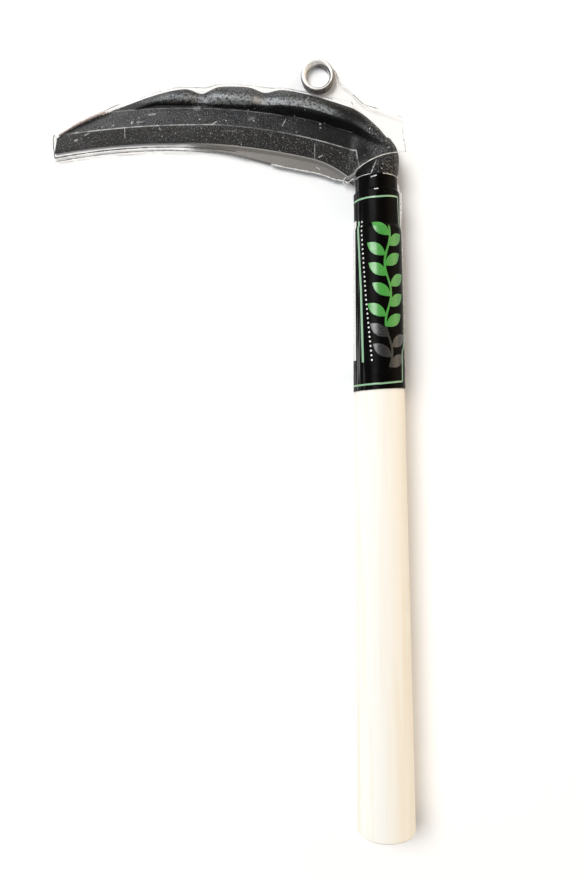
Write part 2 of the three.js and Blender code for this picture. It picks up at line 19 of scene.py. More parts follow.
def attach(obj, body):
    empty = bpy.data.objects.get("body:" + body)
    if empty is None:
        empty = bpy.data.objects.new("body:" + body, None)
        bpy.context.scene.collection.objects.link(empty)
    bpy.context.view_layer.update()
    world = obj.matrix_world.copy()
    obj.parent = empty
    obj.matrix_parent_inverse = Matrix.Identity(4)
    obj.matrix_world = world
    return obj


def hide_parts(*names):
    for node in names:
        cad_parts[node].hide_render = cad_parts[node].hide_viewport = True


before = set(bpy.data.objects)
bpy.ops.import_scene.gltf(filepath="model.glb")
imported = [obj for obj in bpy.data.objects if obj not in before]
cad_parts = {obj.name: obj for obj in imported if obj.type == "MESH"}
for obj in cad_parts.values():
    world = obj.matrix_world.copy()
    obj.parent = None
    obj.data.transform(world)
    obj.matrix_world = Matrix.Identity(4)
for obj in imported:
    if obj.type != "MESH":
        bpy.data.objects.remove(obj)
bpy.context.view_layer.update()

log = logging.getLogger("sickle")

QUARTER_TURN = math.pi / 2
MILLIMETRE = 0.001
ORIGIN = Vector((0.0, 0.0, 0.0))
BEAD_SIDES = 8
BEAD_WAVER = 420.0
# The steel's marks are read in millimetres, and one that lies this far off doesn't show.
HIDDEN = 24.0
WHITE = (1.0, 1.0, 1.0)
Value = float | NodeSocket


class Body(Enum):
    """The two bodies that the joint parts."""

    TOOL = "tool"
    GUARD = "guard"


class Slot(Enum):
    """The record's material slots; settle is handed one for each new piece but does not read it."""

    BLACKENED_STEEL = "blackened_steel"
    PALE_WOOD = "pale_wood"
    BLACK_FILM = "black_film"
    CLEAR_FILM = "clear_film"
    NICKEL = "nickel"


class Axis(Enum):
    """What a turned piece is turned about."""

    HANDLE = "along the handle"
    UPRIGHT = "up out of the bevel's face"


def lerp(start: float, end: float, share: float) -> float:
    """Returns the value a share of the way from start to end."""
    return start + (end - start) * share


def smoothstep(value: float, low: float, high: float) -> float:
    """Returns 0 below low, 1 above high and a smooth rise between them."""
    share = np.clip((np.asarray(value, float) - low) / (high - low), 0.0, 1.0)
    return share * share * (3.0 - 2.0 * share)


def curve_through(places: Sequence[float], values: Sequence[float]) -> Callable:
    """Returns a smooth curve through places and values.

    Args:
        places: where the values stand, rising.
        values: one value for each place.

    Returns:
        A function that reads the curve at a number or an array.
    """
    x = np.array(places, float)
    y = np.array(values, float)
    before = np.maximum(np.arange(len(x)) - 1, 0)
    after = np.minimum(np.arange(len(x)) + 1, len(x) - 1)
    slopes = (y[after] - y[before]) / (x[after] - x[before])

    def read(place: float | np.ndarray) -> float | np.ndarray:
        """Reads the curve."""
        i = np.clip(np.searchsorted(x, place, side="right") - 1, 0, len(x) - 2)
        span = x[i + 1] - x[i]
        s = np.clip((place - x[i]) / span, 0.0, 1.0)
        bend = s * s * (3.0 - 2.0 * s)
        lead = s * (1.0 - s) ** 2 * span * slopes[i]
        trail = s * s * (1.0 - s) * span * slopes[i + 1]
        return y[i] * (1.0 - bend) + y[i + 1] * bend + lead - trail

    return read


def linked(name: str, data: ID) -> Object:
    """Makes an object of some data and puts it into the scene."""
    made = bpy.data.objects.new(name, data)
    bpy.context.scene.collection.objects.link(made)
    return made


def shade(mesh: Mesh, sharp_degrees: float) -> None:
    """Shades a mesh smooth, but for edges that turn more than some degrees."""
    mesh.polygons.foreach_set("use_smooth", [True] * len(mesh.polygons))
    mesh.set_sharp_from_angle(angle=math.radians(sharp_degrees))


def places_of(piece: Object) -> np.ndarray:
    """Returns the places of a piece's vertices, one row each."""
    places = np.empty(len(piece.data.vertices) * 3)
    piece.data.vertices.foreach_get("co", places)
    return places.reshape(-1, 3)


def volume(points: np.ndarray, triangles: np.ndarray) -> float:
    """Returns six times a closed mesh's volume, which is below zero where its faces point in."""
    a, b, c = np.moveaxis(points[triangles], 1, 0)
    return float(np.einsum("ij,ij->", a, np.cross(b, c)))


def object_from(name: str, points: np.ndarray, faces: Sequence, sharp_degrees: float = 30.0) -> Object:
    """Makes a smooth-shaded mesh object whose corners stay sharp.

    Args:
        name: the piece's name.
        points: an array of places, one row each.
        faces: lists of vertex numbers.
        sharp_degrees: edges that turn more than this are shaded sharp.

    Returns:
        The new object, in the scene, at the origin.
    """
    mesh = bpy.data.meshes.new(name)
    mesh.from_pydata(points.tolist(), [], faces)
    mesh.update()
    shade(mesh, sharp_degrees)
    return linked(name, mesh)


def turned_out(points: np.ndarray, faces: Sequence) -> list:
    """Returns the faces of a closed piece, all turned round where they pointed in."""
    fans = np.array([(face[0], face[k], face[k + 1]) for face in faces for k in range(1, len(face) - 1)])
    return faces if volume(points, fans) > 0.0 else [face[::-1] for face in faces]


def give_attribute(piece: Object, name: str, values: np.ndarray) -> None:
    """Stores one number at each vertex under a name that materials read."""
    attribute = piece.data.attributes.new(name, "FLOAT", "POINT")
    attribute.data.foreach_set("value", np.asarray(values, np.float32).ravel())


def plate(name: str, over: np.ndarray, under: np.ndarray) -> Object:
    """Makes a closed sheet between two grids of places of the same shape.

    Args:
        name: the piece's name.
        over: rows by columns by 3, the upper face.
        under: the lower face, in the same order.

    Returns:
        The sheet, with its faces pointing out.
    """
    rows, columns = over.shape[:2]
    top = np.arange(rows * columns).reshape(rows, columns)
    low = top + rows * columns
    corners = [
        (top[:-1, :-1], top[:-1, 1:], top[1:, 1:], top[1:, :-1]),
        (low[:-1, :-1], low[1:, :-1], low[1:, 1:], low[:-1, 1:]),
        (top[:-1, 0], top[1:, 0], low[1:, 0], low[:-1, 0]),
        (top[:-1, -1], low[:-1, -1], low[1:, -1], top[1:, -1]),
        (top[0, :-1], low[0, :-1], low[0, 1:], top[0, 1:]),
        (top[-1, :-1], top[-1, 1:], low[-1, 1:], low[-1, :-1]),
    ]
    faces = np.concatenate([np.stack(side, axis=-1).reshape(-1, 4) for side in corners]).tolist()
    points = np.concatenate([over.reshape(-1, 3), under.reshape(-1, 3)])
    return object_from(name, points, turned_out(points, faces))


def ring(name: str, profile: Sequence, sides: int, axis: Axis, centre: Vector = ORIGIN) -> Object:
    """Turns a closed profile about an axis.

    Args:
        name: the piece's name.
        profile: radius and height pairs; a run that starts and ends on the axis is closed by it.
        sides: steps round the axis.
        axis: what it is turned about.
        centre: a place on the axis, from which heights are measured.

    Returns:
        The turned piece, with its poles and its seam closed and its faces pointing out.
    """
    angles = np.arange(sides) * math.tau / sides
    points, loops, faces = [], [], []
    for radius, height in profile:
        first = len(points)
        for angle in angles if radius > 0.0 else angles[:1]:
            round_x, round_y = radius * math.sin(angle), radius * math.cos(angle)
            offset = (round_x, round_y, height) if axis is Axis.UPRIGHT else (round_x, height, round_y)
            points.append(centre + Vector(offset))
        loops.append([first + (i if radius > 0.0 else 0) for i in range(sides)])
    closes = profile[0][0] > 0.0
    for k in range(len(loops) if closes else len(loops) - 1):
        here, there = loops[k], loops[(k + 1) % len(loops)]
        for i in range(sides):
            j = (i + 1) % sides
            corners = [here[i], there[i], there[j], here[j]]
            kept = [c for n, c in enumerate(corners) if c not in corners[:n]]
            if len(kept) > 2:
                faces.append(kept)
    places = np.array([list(point) for point in points])
    return object_from(name, places, turned_out(places, faces))


def rounding(radius: float, height: float, size: float, start: float, end: float, steps: int = 10) -> list:
    """Returns the radius and height pairs of a rounded corner between two angles."""
    angles = np.linspace(start, end, steps + 1)
    return [(radius + size * math.cos(a), height + size * math.sin(a)) for a in angles]


def baked(piece: Object) -> Object:
    """Turns a piece's modifiers into plain mesh and takes them off."""
    bpy.context.view_layer.update()
    found = piece.evaluated_get(bpy.context.evaluated_depsgraph_get())
    mesh = bpy.data.meshes.new_from_object(found)
    piece.modifiers.clear()
    piece.data = mesh
    return piece


def settle(piece: Object, body: Body, slot: Slot, *nodes: str) -> None:
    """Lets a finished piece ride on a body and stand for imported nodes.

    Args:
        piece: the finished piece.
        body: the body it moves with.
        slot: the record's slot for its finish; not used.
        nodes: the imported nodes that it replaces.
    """
    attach(piece, body.value)
    if nodes:
        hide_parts(*nodes)
    log.info("%s rides on %s, %d faces", piece.name, body.value, len(piece.data.polygons))


def wear(piece: Object, material: Material) -> None:
    """Gives every face of a piece one material."""
    piece.data.materials.clear()
    piece.data.materials.append(material)


class Nodes:
    """What a material, the sky and a geometry tree are all built with."""

    def __init__(self, tree: NodeTree) -> None:
        """Keeps the tree that nodes are added to."""
        self.tree = tree

    def feed(self, socket: NodeSocket, value: object) -> None:
        """Links a socket to another one, or sets it to a number, colour, vector or material."""
        if isinstance(value, NodeSocket):
            self.tree.links.new(value, socket)
        elif hasattr(value, "__len__") and len(value) == 3 and socket.type == "RGBA":
            socket.default_value = (*value, 1.0)
        else:
            socket.default_value = value

    def node(self, kind: str, **inputs: object) -> Node:
        """Adds a node and feeds its inputs, named with underscores for spaces."""
        made = self.tree.nodes.new(kind)
        for name, value in inputs.items():
            self.feed(made.inputs[name.replace("_", " ")], value)
        return made

    def calculate(self, operation: str, first: Value, *others: Value) -> NodeSocket:
        """Returns the result of an arithmetic operation on one value, or on several from first to last."""
        result = first
        for other in others or (0.0,):
            made = self.node("ShaderNodeMath")
            made.operation = operation
            self.feed(made.inputs[0], result)
            self.feed(made.inputs[1], other)
            result = made.outputs["Value"]
        return result

    def times(self, *values: Value) -> NodeSocket:
        """Returns the product of values."""
        return self.calculate("MULTIPLY", *values)

    def plus(self, *values: Value) -> NodeSocket:
        """Returns the total of values."""
        return self.calculate("ADD", *values)

    def minus(self, first: Value, second: Value) -> NodeSocket:
        """Returns the first value less the second."""
        return self.calculate("SUBTRACT", first, second)

    def most(self, *values: Value) -> NodeSocket:
        """Returns the largest of values."""
        return self.calculate("MAXIMUM", *values)

    def least(self, *values: Value) -> NodeSocket:
        """Returns the smallest of values."""
        return self.calculate("MINIMUM", *values)

    def far(self, value: Value) -> NodeSocket:
        """Returns a value without its sign."""
        return self.calculate("ABSOLUTE", value)

    def ramp(
        self, value: Value, low: float, high: float, to_low: float = 0.0, to_high: float = 1.0
    ) -> NodeSocket:
        """Returns a value mapped smoothly from one range to another."""
        made = self.node(
            "ShaderNodeMapRange", Value=value, From_Min=low, From_Max=high, To_Min=to_low, To_Max=to_high
        )
        made.interpolation_type = "SMOOTHSTEP"
        return made.outputs["Result"]

    def split(self, vector: NodeSocket, axis: str) -> NodeSocket:
        """Returns one part of a vector."""
        return self.node("ShaderNodeSeparateXYZ", Vector=vector).outputs[axis]

    def blend(self, share: Value, first: object, second: object) -> NodeSocket:
        """Returns the colour a share of the way from first to second."""
        made = self.node("ShaderNodeMix")
        made.data_type = "RGBA"
        self.feed(made.inputs["Factor"], share)
        self.feed(made.inputs[6], first)
        self.feed(made.inputs[7], second)
        return made.outputs[2]

    def mixed(self, share: Value, first: NodeSocket, second: NodeSocket) -> NodeSocket:
        """Returns the shader a share of the way from first to second."""
        made = self.node("ShaderNodeMixShader", Fac=share)
        self.feed(made.inputs[1], first)
        self.feed(made.inputs[2], second)
        return made.outputs["Shader"]


class Recipe(Nodes):
    """Builds one material from nodes, a line at a time."""

    def __init__(self, name: str) -> None:
        """Starts an empty material under a name."""
        self.material = bpy.data.materials.new(name)
        self.material.use_nodes = True
        super().__init__(self.material.node_tree)
        self.tree.nodes.clear()
        self.output = self.tree.nodes.new("ShaderNodeOutputMaterial")
        self.place = self.tree.nodes.new("ShaderNodeTexCoord").outputs["Object"]

    def stretched(self, scale: Sequence[float]) -> NodeSocket:
        """Returns Object coordinates scaled along each axis."""
        return self.node("ShaderNodeMapping", Vector=self.place, Scale=scale).outputs["Vector"]

    def axis(self, name: str) -> NodeSocket:
        """Returns one of the Object coordinates."""
        return self.split(self.place, name)

    def noise(
        self, scale: float, detail: float = 2.0, roughness: float = 0.5, vector: NodeSocket | None = None
    ) -> NodeSocket:
        """Returns a noise value, whose grains are about 1/scale metres wide."""
        made = self.node("ShaderNodeTexNoise", Scale=scale, Detail=detail, Roughness=roughness)
        self.feed(made.inputs["Vector"], self.place if vector is None else vector)
        return made.outputs["Fac"]

    def attribute(self, name: str) -> NodeSocket:
        """Returns a number stored at the vertices."""
        made = self.tree.nodes.new("ShaderNodeAttribute")
        made.attribute_name = name
        return made.outputs["Fac"]

    def bump(self, height: NodeSocket, distance: float, strength: float = 1.0) -> NodeSocket:
        """Returns normals bent by a height map."""
        made = self.node("ShaderNodeBump", Height=height, Distance=distance, Strength=strength)
        return made.outputs["Normal"]

    def surface(self, shader: NodeSocket) -> Material:
        """Gives the material its surface and returns it."""
        self.tree.links.new(shader, self.output.inputs["Surface"])
        return self.material

    def principled(self, **inputs: object) -> Material:
        """Makes the surface of one main shader and returns the material."""
        return self.surface(self.node("ShaderNodeBsdfPrincipled", **inputs).outputs["BSDF"])

    def see_through(self, share: Value, tint: Sequence[float], **inputs: object) -> Material:
        """Mixes the main shader, by a share, over a surface that lets everything through."""
        skin = self.node("ShaderNodeBsdfPrincipled", **inputs)
        through = self.node("ShaderNodeBsdfTransparent", Color=tint)
        return self.surface(self.mixed(share, through.outputs["BSDF"], skin.outputs["BSDF"]))

    def mirrored(self, straight: float, grazing: float, normal: NodeSocket) -> NodeSocket:
        """Returns how much a clear sheet mirrors, from one share seen straight on to more at grazing."""
        facing = self.node("ShaderNodeLayerWeight", Blend=0.5, Normal=normal)
        turned = self.calculate("POWER", facing.outputs["Facing"], 5.0)
        return self.plus(self.times(turned, grazing), straight)


class Growth(Nodes):
    """Builds one Geometry Nodes tree with named sizes, and grows it on an object."""

    def __init__(self, name: str, material: Material, **sizes: float) -> None:
        """Starts an empty tree whose inputs are named sizes.

        Args:
            name: the tree's name.
            material: what the result is made of.
            sizes: the values of the named inputs, whole numbers for counts.
        """
        super().__init__(bpy.data.node_groups.new(name, "GeometryNodeTree"))
        self.material = material
        self.sizes = sizes
        sockets = self.tree.interface
        sockets.new_socket(name="Geometry", in_out="INPUT", socket_type="NodeSocketGeometry")
        sockets.new_socket(name="Geometry", in_out="OUTPUT", socket_type="NodeSocketGeometry")
        self.identifiers = {}
        for size, value in sizes.items():
            kind = "NodeSocketInt" if isinstance(value, int) else "NodeSocketFloat"
            socket = sockets.new_socket(name=size, in_out="INPUT", socket_type=kind)
            self.identifiers[size] = socket.identifier
        self.inputs = self.tree.nodes.new("NodeGroupInput").outputs

    def size(self, name: str) -> NodeSocket:
        """Returns one of the named inputs."""
        return self.inputs[name]

    def vector(self, x: Value = 0.0, y: Value = 0.0, z: Value = 0.0) -> NodeSocket:
        """Returns a vector of three values."""
        return self.node("ShaderNodeCombineXYZ", X=x, Y=y, Z=z).outputs[0]

    def evened(self, step: NodeSocket) -> NodeSocket:
        """Returns the grown object's edges as curves whose points lie a step apart."""
        line = self.node("GeometryNodeMeshToCurve", Mesh=self.inputs["Geometry"])
        even = self.node("GeometryNodeResampleCurve")
        even.mode = "LENGTH"
        self.feed(even.inputs["Curve"], line.outputs[0])
        self.feed(even.inputs["Length"], step)
        return even.outputs[0]

    def tube(self, curve: NodeSocket, sides: Value, radius: Value, scale: Value = 1.0) -> NodeSocket:
        """Returns a round tube with closed ends along a curve."""
        section = self.node("GeometryNodeCurvePrimitiveCircle", Resolution=sides, Radius=radius).outputs[0]
        made = self.node(
            "GeometryNodeCurveToMesh", Curve=curve, Profile_Curve=section, Scale=scale, Fill_Caps=True
        )
        return made.outputs[0]

    def grow(self, geometry: NodeSocket, piece: Object) -> Object:
        """Ends the tree, runs it on a piece and turns the result into plain mesh.

        Args:
            geometry: what the tree makes.
            piece: the object that it is grown on.

        Returns:
            The piece, as a plain mesh without modifiers.
        """
        real = self.node("GeometryNodeRealizeInstances", Geometry=geometry)
        worn = self.node("GeometryNodeSetMaterial", Geometry=real.outputs[0], Material=self.material)
        self.feed(self.node("NodeGroupOutput").inputs[0], worn.outputs[0])
        modifier = piece.modifiers.new(self.tree.name, "NODES")
        modifier.node_group = self.tree
        for name, identifier in self.identifiers.items():
            modifier[identifier] = self.sizes[name]
        return baked(piece)


def facing_out(piece: Object, sharp_degrees: float = 35.0) -> Object:
    """Turns a closed mesh's faces out where they point in, and shades it smooth."""
    mesh = piece.data
    mesh.calc_loop_triangles()
    corners = np.empty(len(mesh.loop_triangles) * 3, np.int32)
    mesh.loop_triangles.foreach_get("vertices", corners)
    if volume(places_of(piece), corners.reshape(-1, 3)) < 0.0:
        mesh.flip_normals()
    shade(mesh, sharp_degrees)
    return piece


def thread(name: str, paths: Sequence, closed: bool = False) -> Object:
    """Makes an object of bare edges, for a tree to grow on.

    Args:
        name: the piece's name.
        paths: runs of places in order, one row each.
        closed: whether each path ends where it starts.

    Returns:
        The new object, in the scene.
    """
    edges, first = [], 0
    for path in paths:
        last = first + len(path) - 1
        edges += [(i, i + 1) for i in range(first, last)] + ([(last, first)] if closed else [])
        first = last + 1
    mesh = bpy.data.meshes.new(name)
    mesh.from_pydata(np.concatenate(paths).tolist(), edges, [])
    return linked(name, mesh)


def bead(
    name: str, paths: Sequence, material: Material, radius: float, step: float,
    unevenness: float = 0.0, closed: bool = False,
) -> Object:
    """Lays round beads along paths with Geometry Nodes.

    Args:
        name: the piece's name.
        paths: runs of places in order, one row each.
        material: what the bead is made of.
        radius: half its width.
        step: how far apart its rings lie.
        unevenness: how much its width changes along the path, as a share.
        closed: whether each path ends where it starts.

    Returns:
        The beads, as one closed mesh.
    """
    g = Growth(name, material, radius=radius, step=step, sides=BEAD_SIDES, unevenness=unevenness)
    waver = g.node("ShaderNodeTexNoise", Scale=BEAD_WAVER, Detail=1.0).outputs["Fac"]
    spread = g.times(g.minus(waver, 0.5), g.size("unevenness"))
    scale = g.plus(1.0, g.times(spread, 2.0))
    made = g.tube(g.evened(g.size("step")), g.size("sides"), g.size("radius"), scale)
    return facing_out(g.grow(made, thread(name, paths, closed)))


@dataclass(frozen=True)
class Mark:
    """One rubbed place on the steel, in plan."""

    x: float
    y: float
    half_length: float
    half_width: float
    turn: float
    strength: float


@dataclass(frozen=True)
class BlackenedSteel:
    """Scale-blackened sheet steel with a satin ground bevel, painted highlights on the rib's inner flank and
    on its ridge, plunge and foot lines, painted shade in the groove at the rib's foot, and a painted sheen
    towards the tip.
    """

    scale: tuple = (0.007, 0.0075, 0.009)
    pale_scale: tuple = (0.030, 0.032, 0.036)
    bevel: tuple = (0.0105, 0.0097, 0.0087)
    # Painted highlight colour of the rib's inner flank.
    crown: tuple = (0.27, 0.29, 0.305)
    # worn colours real wear on scratches, nicks and dots, and also the painted highlights on the ridge,
    # plunge and foot lines.
    worn: tuple = (0.46, 0.46, 0.45)
    speck: tuple = (0.50, 0.51, 0.525)
    gloss: float = 0.19
    # Painted sheen of the clear film's reflection: the steel's colour lightens towards the tip.
    painted_tip_sheen: tuple = (0.046, 0.048, 0.051)
    tip_sheen_until: float = -0.155
    tip_sheen_gone: float = -0.070
    # Dark scale near the heel and in patches, and painted shade in the groove at the rib's foot.
    dark_scale_and_shade: tuple = (0.003, 0.0035, 0.004)
    roughness: float = 0.44
    metallic: float = 0.4
    scuffed_share: float = 0.13
    heel_from: float = -0.052
    heel_full: float = -0.024
    # Where the painted ridge highlight is dulled, and how softly.
    dull_ridge: tuple = (-0.084, -0.044)
    dull_softness: float = 0.012
    marks: tuple = (
        # The first mark is a painted highlight: the line of light along a crease in the clear sheet above the
        # steel.
        Mark(-0.0324, 0.3692, 0.0052, 0.00028, 89.0, 0.9),
        Mark(-0.0292, 0.3664, 0.0016, 0.00050, 25.0, 1.0),
        Mark(-0.1367, 0.3808, 0.0034, 0.00028, 89.0, 0.8),
        Mark(-0.1215, 0.3905, 0.0026, 0.00070, 6.0, 0.5),
        Mark(-0.1326, 0.3861, 0.0009, 0.00070, 70.0, 0.9),
        Mark(-0.1282, 0.3864, 0.0022, 0.00040, 4.0, 0.6),
        Mark(-0.0873, 0.3853, 0.0023, 0.00036, 30.0, 0.9),
        Mark(-0.0490, 0.3848, 0.0026, 0.00034, 62.0, 0.9),
        Mark(-0.1171, 0.3825, 0.0010, 0.00030, 130.0, 0.8),
        Mark(-0.0797, 0.3809, 0.0054, 0.00016, 179.0, 0.55),
        Mark(-0.0967, 0.3932, 0.0024, 0.00150, 0.0, 0.3),
        Mark(-0.0670, 0.3873, 0.0024, 0.00120, 20.0, 0.25),
        Mark(-0.0292, 0.3837, 0.0006, 0.00060, 0.0, 1.0),
        Mark(-0.0362, 0.3960, 0.0024, 0.00070, 50.0, 0.8),
        Mark(-0.0624, 0.3958, 0.0040, 0.00170, 158.0, 0.95),
        Mark(-0.1637, 0.3771, 0.0012, 0.00060, 20.0, 0.9),
        Mark(-0.1576, 0.3802, 0.0020, 0.00040, 24.0, 0.6),
        Mark(-0.0023, 0.3531, 0.0058, 0.00036, 68.0, 1.0),
    )

    def make(self) -> Material:
        """Returns the material."""
        r = Recipe("blackened_steel")
        grain = r.noise(1750.0, 3.0, 0.85)
        crust = r.noise(620.0, 3.0, 0.75)
        on_bevel = r.times(r.ramp(r.attribute("ridge"), 0.1, -0.1), r.ramp(r.attribute("plunge"), -0.1, 0.5))
        near_heel = r.ramp(r.axis("X"), self.heel_from, self.heel_full)
        colour = r.blend(r.ramp(r.noise(48.0, 4.0, 0.65), 0.38, 0.68), self.scale, self.pale_scale)
        # Painted sheen, lighter towards the tip.
        tip_sheen_share = r.ramp(r.axis("X"), self.tip_sheen_until, self.tip_sheen_gone, 0.7, 0.0)
        colour = r.blend(tip_sheen_share, colour, self.painted_tip_sheen)
        colour = r.blend(near_heel, colour, self.dark_scale_and_shade)
        colour = r.blend(on_bevel, colour, self.bevel)
        # Painted highlight on the rib's inner flank.
        flank = r.times(r.ramp(r.attribute("crown"), 0.1, 1.0), r.ramp(crust, 0.36, 0.6, 0.2, 1.0))
        colour = r.blend(flank, colour, self.crown)
        colour = r.blend(r.ramp(crust, 0.5, 0.36, 0.0, 0.85), colour, self.dark_scale_and_shade)
        colour = r.blend(self.dust(r, grain, on_bevel, near_heel), colour, self.speck)
        # Painted shade in the groove at the rib's foot.
        colour = r.blend(r.ramp(r.attribute("crown"), -0.1, -0.8, 0.0, 0.85), colour, self.dark_scale_and_shade)
        # Painted highlights on the ridge, plunge and foot lines.
        colour = r.blend(self.painted_line_highlights(r), colour, self.worn)
        colour = r.blend(self.rubbed(r), colour, self.worn)
        return r.principled(
            Base_Color=colour,
            Metallic=self.metallic,
            Specular_IOR_Level=self.gloss,
            Roughness=r.ramp(crust, 0.3, 0.7, self.roughness - 0.1, self.roughness + 0.16),
            Normal=r.bump(r.plus(r.times(grain, 0.4), crust), 0.0005, 0.6),
        )

    def dust(self, r: Recipe, grain: NodeSocket, on_bevel: NodeSocket, near_heel: NodeSocket) -> NodeSocket:
        """Returns the share of pale specks: most on the rib's inner flank, where they add to its painted
        highlight, and on the neck, fewest by the heel.

        Args:
            r: the material in work.
            grain: the fine noise whose peaks are the specks.
            on_bevel: 1 on the ground bevel, 0 elsewhere.
            near_heel: 1 near the heel, 0 towards the tip.

        Returns:
            The share at each place.
        """
        # rubbed here is the share of painted highlight on the rib's inner flank.
        rubbed = r.ramp(r.attribute("crown"), 0.1, 1.0)
        lifted = r.plus(r.times(rubbed, 0.3), r.times(self.neck(r), 0.35))
        clean = r.times(near_heel, r.ramp(on_bevel, 0.0, 1.0, 0.45, 0.0))
        dusty = r.minus(r.plus(r.ramp(on_bevel, 0.0, 1.0, 0.75, 0.66), lifted), clean)
        bare = r.plus(r.minus(0.59, r.times(lifted, 0.15)), r.times(clean, 0.06))
        peaks = r.least(r.times(r.most(r.minus(grain, bare), 0.0), 18.0), 1.0)
        return r.least(r.times(peaks, dusty), 1.0)

    def neck(self, r: Recipe) -> NodeSocket:
        """Returns 1 on the neck, 0 on the blade."""
        return r.ramp(r.attribute("plunge"), -3.0, -8.0)

    def painted_line_highlights(self, r: Recipe) -> NodeSocket:
        """Returns the share of painted highlight on the ridge, where the bevel plunges and under the rib."""
        ridge = r.times(
            r.ramp(r.far(r.attribute("ridge")), 0.42, 0.1), r.ramp(r.attribute("plunge"), -0.4, 0.1)
        )
        x = r.axis("X")
        soft = self.dull_softness
        low, high = self.dull_ridge
        dull = r.times(r.ramp(x, low - soft, low + soft), r.ramp(x, high + soft, high - soft, 0.0, 0.7))
        ridge = r.times(ridge, r.minus(1.0, dull))
        plunge = r.times(
            r.ramp(r.far(r.attribute("plunge")), 0.45, 0.1), r.ramp(r.attribute("ridge"), 0.3, 0.0)
        )
        foot = r.ramp(r.far(r.attribute("foot")), 0.3, 0.1, 0.0, 0.4)
        return r.times(r.most(ridge, plunge, foot), r.ramp(r.noise(260.0, 3.0), 0.35, 0.62, 0.25, 0.85))

    def rubbed(self, r: Recipe) -> NodeSocket:
        """Returns the share of bright wear on scratches, nicks and scattered dots, and of the painted crease
        highlight that the first mark gives.
        """
        dots = r.node("ShaderNodeTexVoronoi", Vector=r.place, Scale=430.0)
        scuffed = r.most(r.ramp(r.attribute("crown"), 0.2, 0.9), self.neck(r))
        chance = r.plus(r.noise(310.0, 1.0), r.times(scuffed, self.scuffed_share))
        total = r.times(r.ramp(dots.outputs["Distance"], 0.2, 0.1), r.ramp(chance, 0.56, 0.66))
        rough = r.ramp(r.noise(900.0, 2.0), 0.35, 0.6, 0.3, 1.0)
        for mark in self.marks:
            turn = (0.0, 0.0, math.radians(mark.turn))
            local = r.node("ShaderNodeMapping", Vector=r.place, Location=(mark.x, mark.y, 0.0), Rotation=turn)
            local.vector_type = "TEXTURE"
            along, across = (r.far(r.split(local.outputs["Vector"], axis)) for axis in "XY")
            length = r.ramp(along, mark.half_length, mark.half_length * 0.6)
            width = r.ramp(across, mark.half_width, mark.half_width * 0.3)
            total = r.most(total, r.times(length, width, r.times(rough, mark.strength)))
        return total


@dataclass(frozen=True)
class PaleWood:
    """Smooth bare hardwood, almost white, with a faint straight grain."""

    pale: tuple = (0.975, 0.955, 0.89)
    dark: tuple = (0.91, 0.83, 0.68)
    roughness: float = 0.5

    def make(self) -> Material:
        """Returns the material."""
        r = Recipe("pale_wood")
        figure = r.noise(1.0, 3.0, 0.55, r.stretched((190.0, 7.0, 190.0)))
        pores = r.noise(1.0, 2.0, 0.6, r.stretched((1400.0, 45.0, 1400.0)))
        colour = r.blend(r.ramp(figure, 0.42, 0.7, 0.0, 0.5), self.pale, self.dark)
        return r.principled(
            Base_Color=r.blend(r.ramp(pores, 0.6, 0.75, 0.0, 0.35), colour, self.dark),
            Roughness=r.ramp(pores, 0.4, 0.7, self.roughness, self.roughness + 0.15),
            Normal=r.bump(r.plus(figure, pores), 0.00008, 0.4),
        )


@dataclass(frozen=True)
class BrightSteel:
    """Plain drawn steel with turned lines."""

    colour: tuple = (0.55, 0.56, 0.57)
    dull: tuple = (0.42, 0.43, 0.44)
    roughness: float = 0.34

    def make(self) -> Material:
        """Returns the material."""
        r = Recipe("bright_steel")
        lines = r.noise(1.0, 2.0, 0.5, r.stretched((80.0, 4000.0, 80.0)))
        return r.principled(
            Base_Color=r.blend(r.ramp(lines, 0.35, 0.7), self.colour, self.dull),
            Metallic=1.0,
            Roughness=r.ramp(lines, 0.3, 0.7, self.roughness - 0.06, self.roughness + 0.1),
            Normal=r.bump(lines, 0.00003, 0.5),
        )


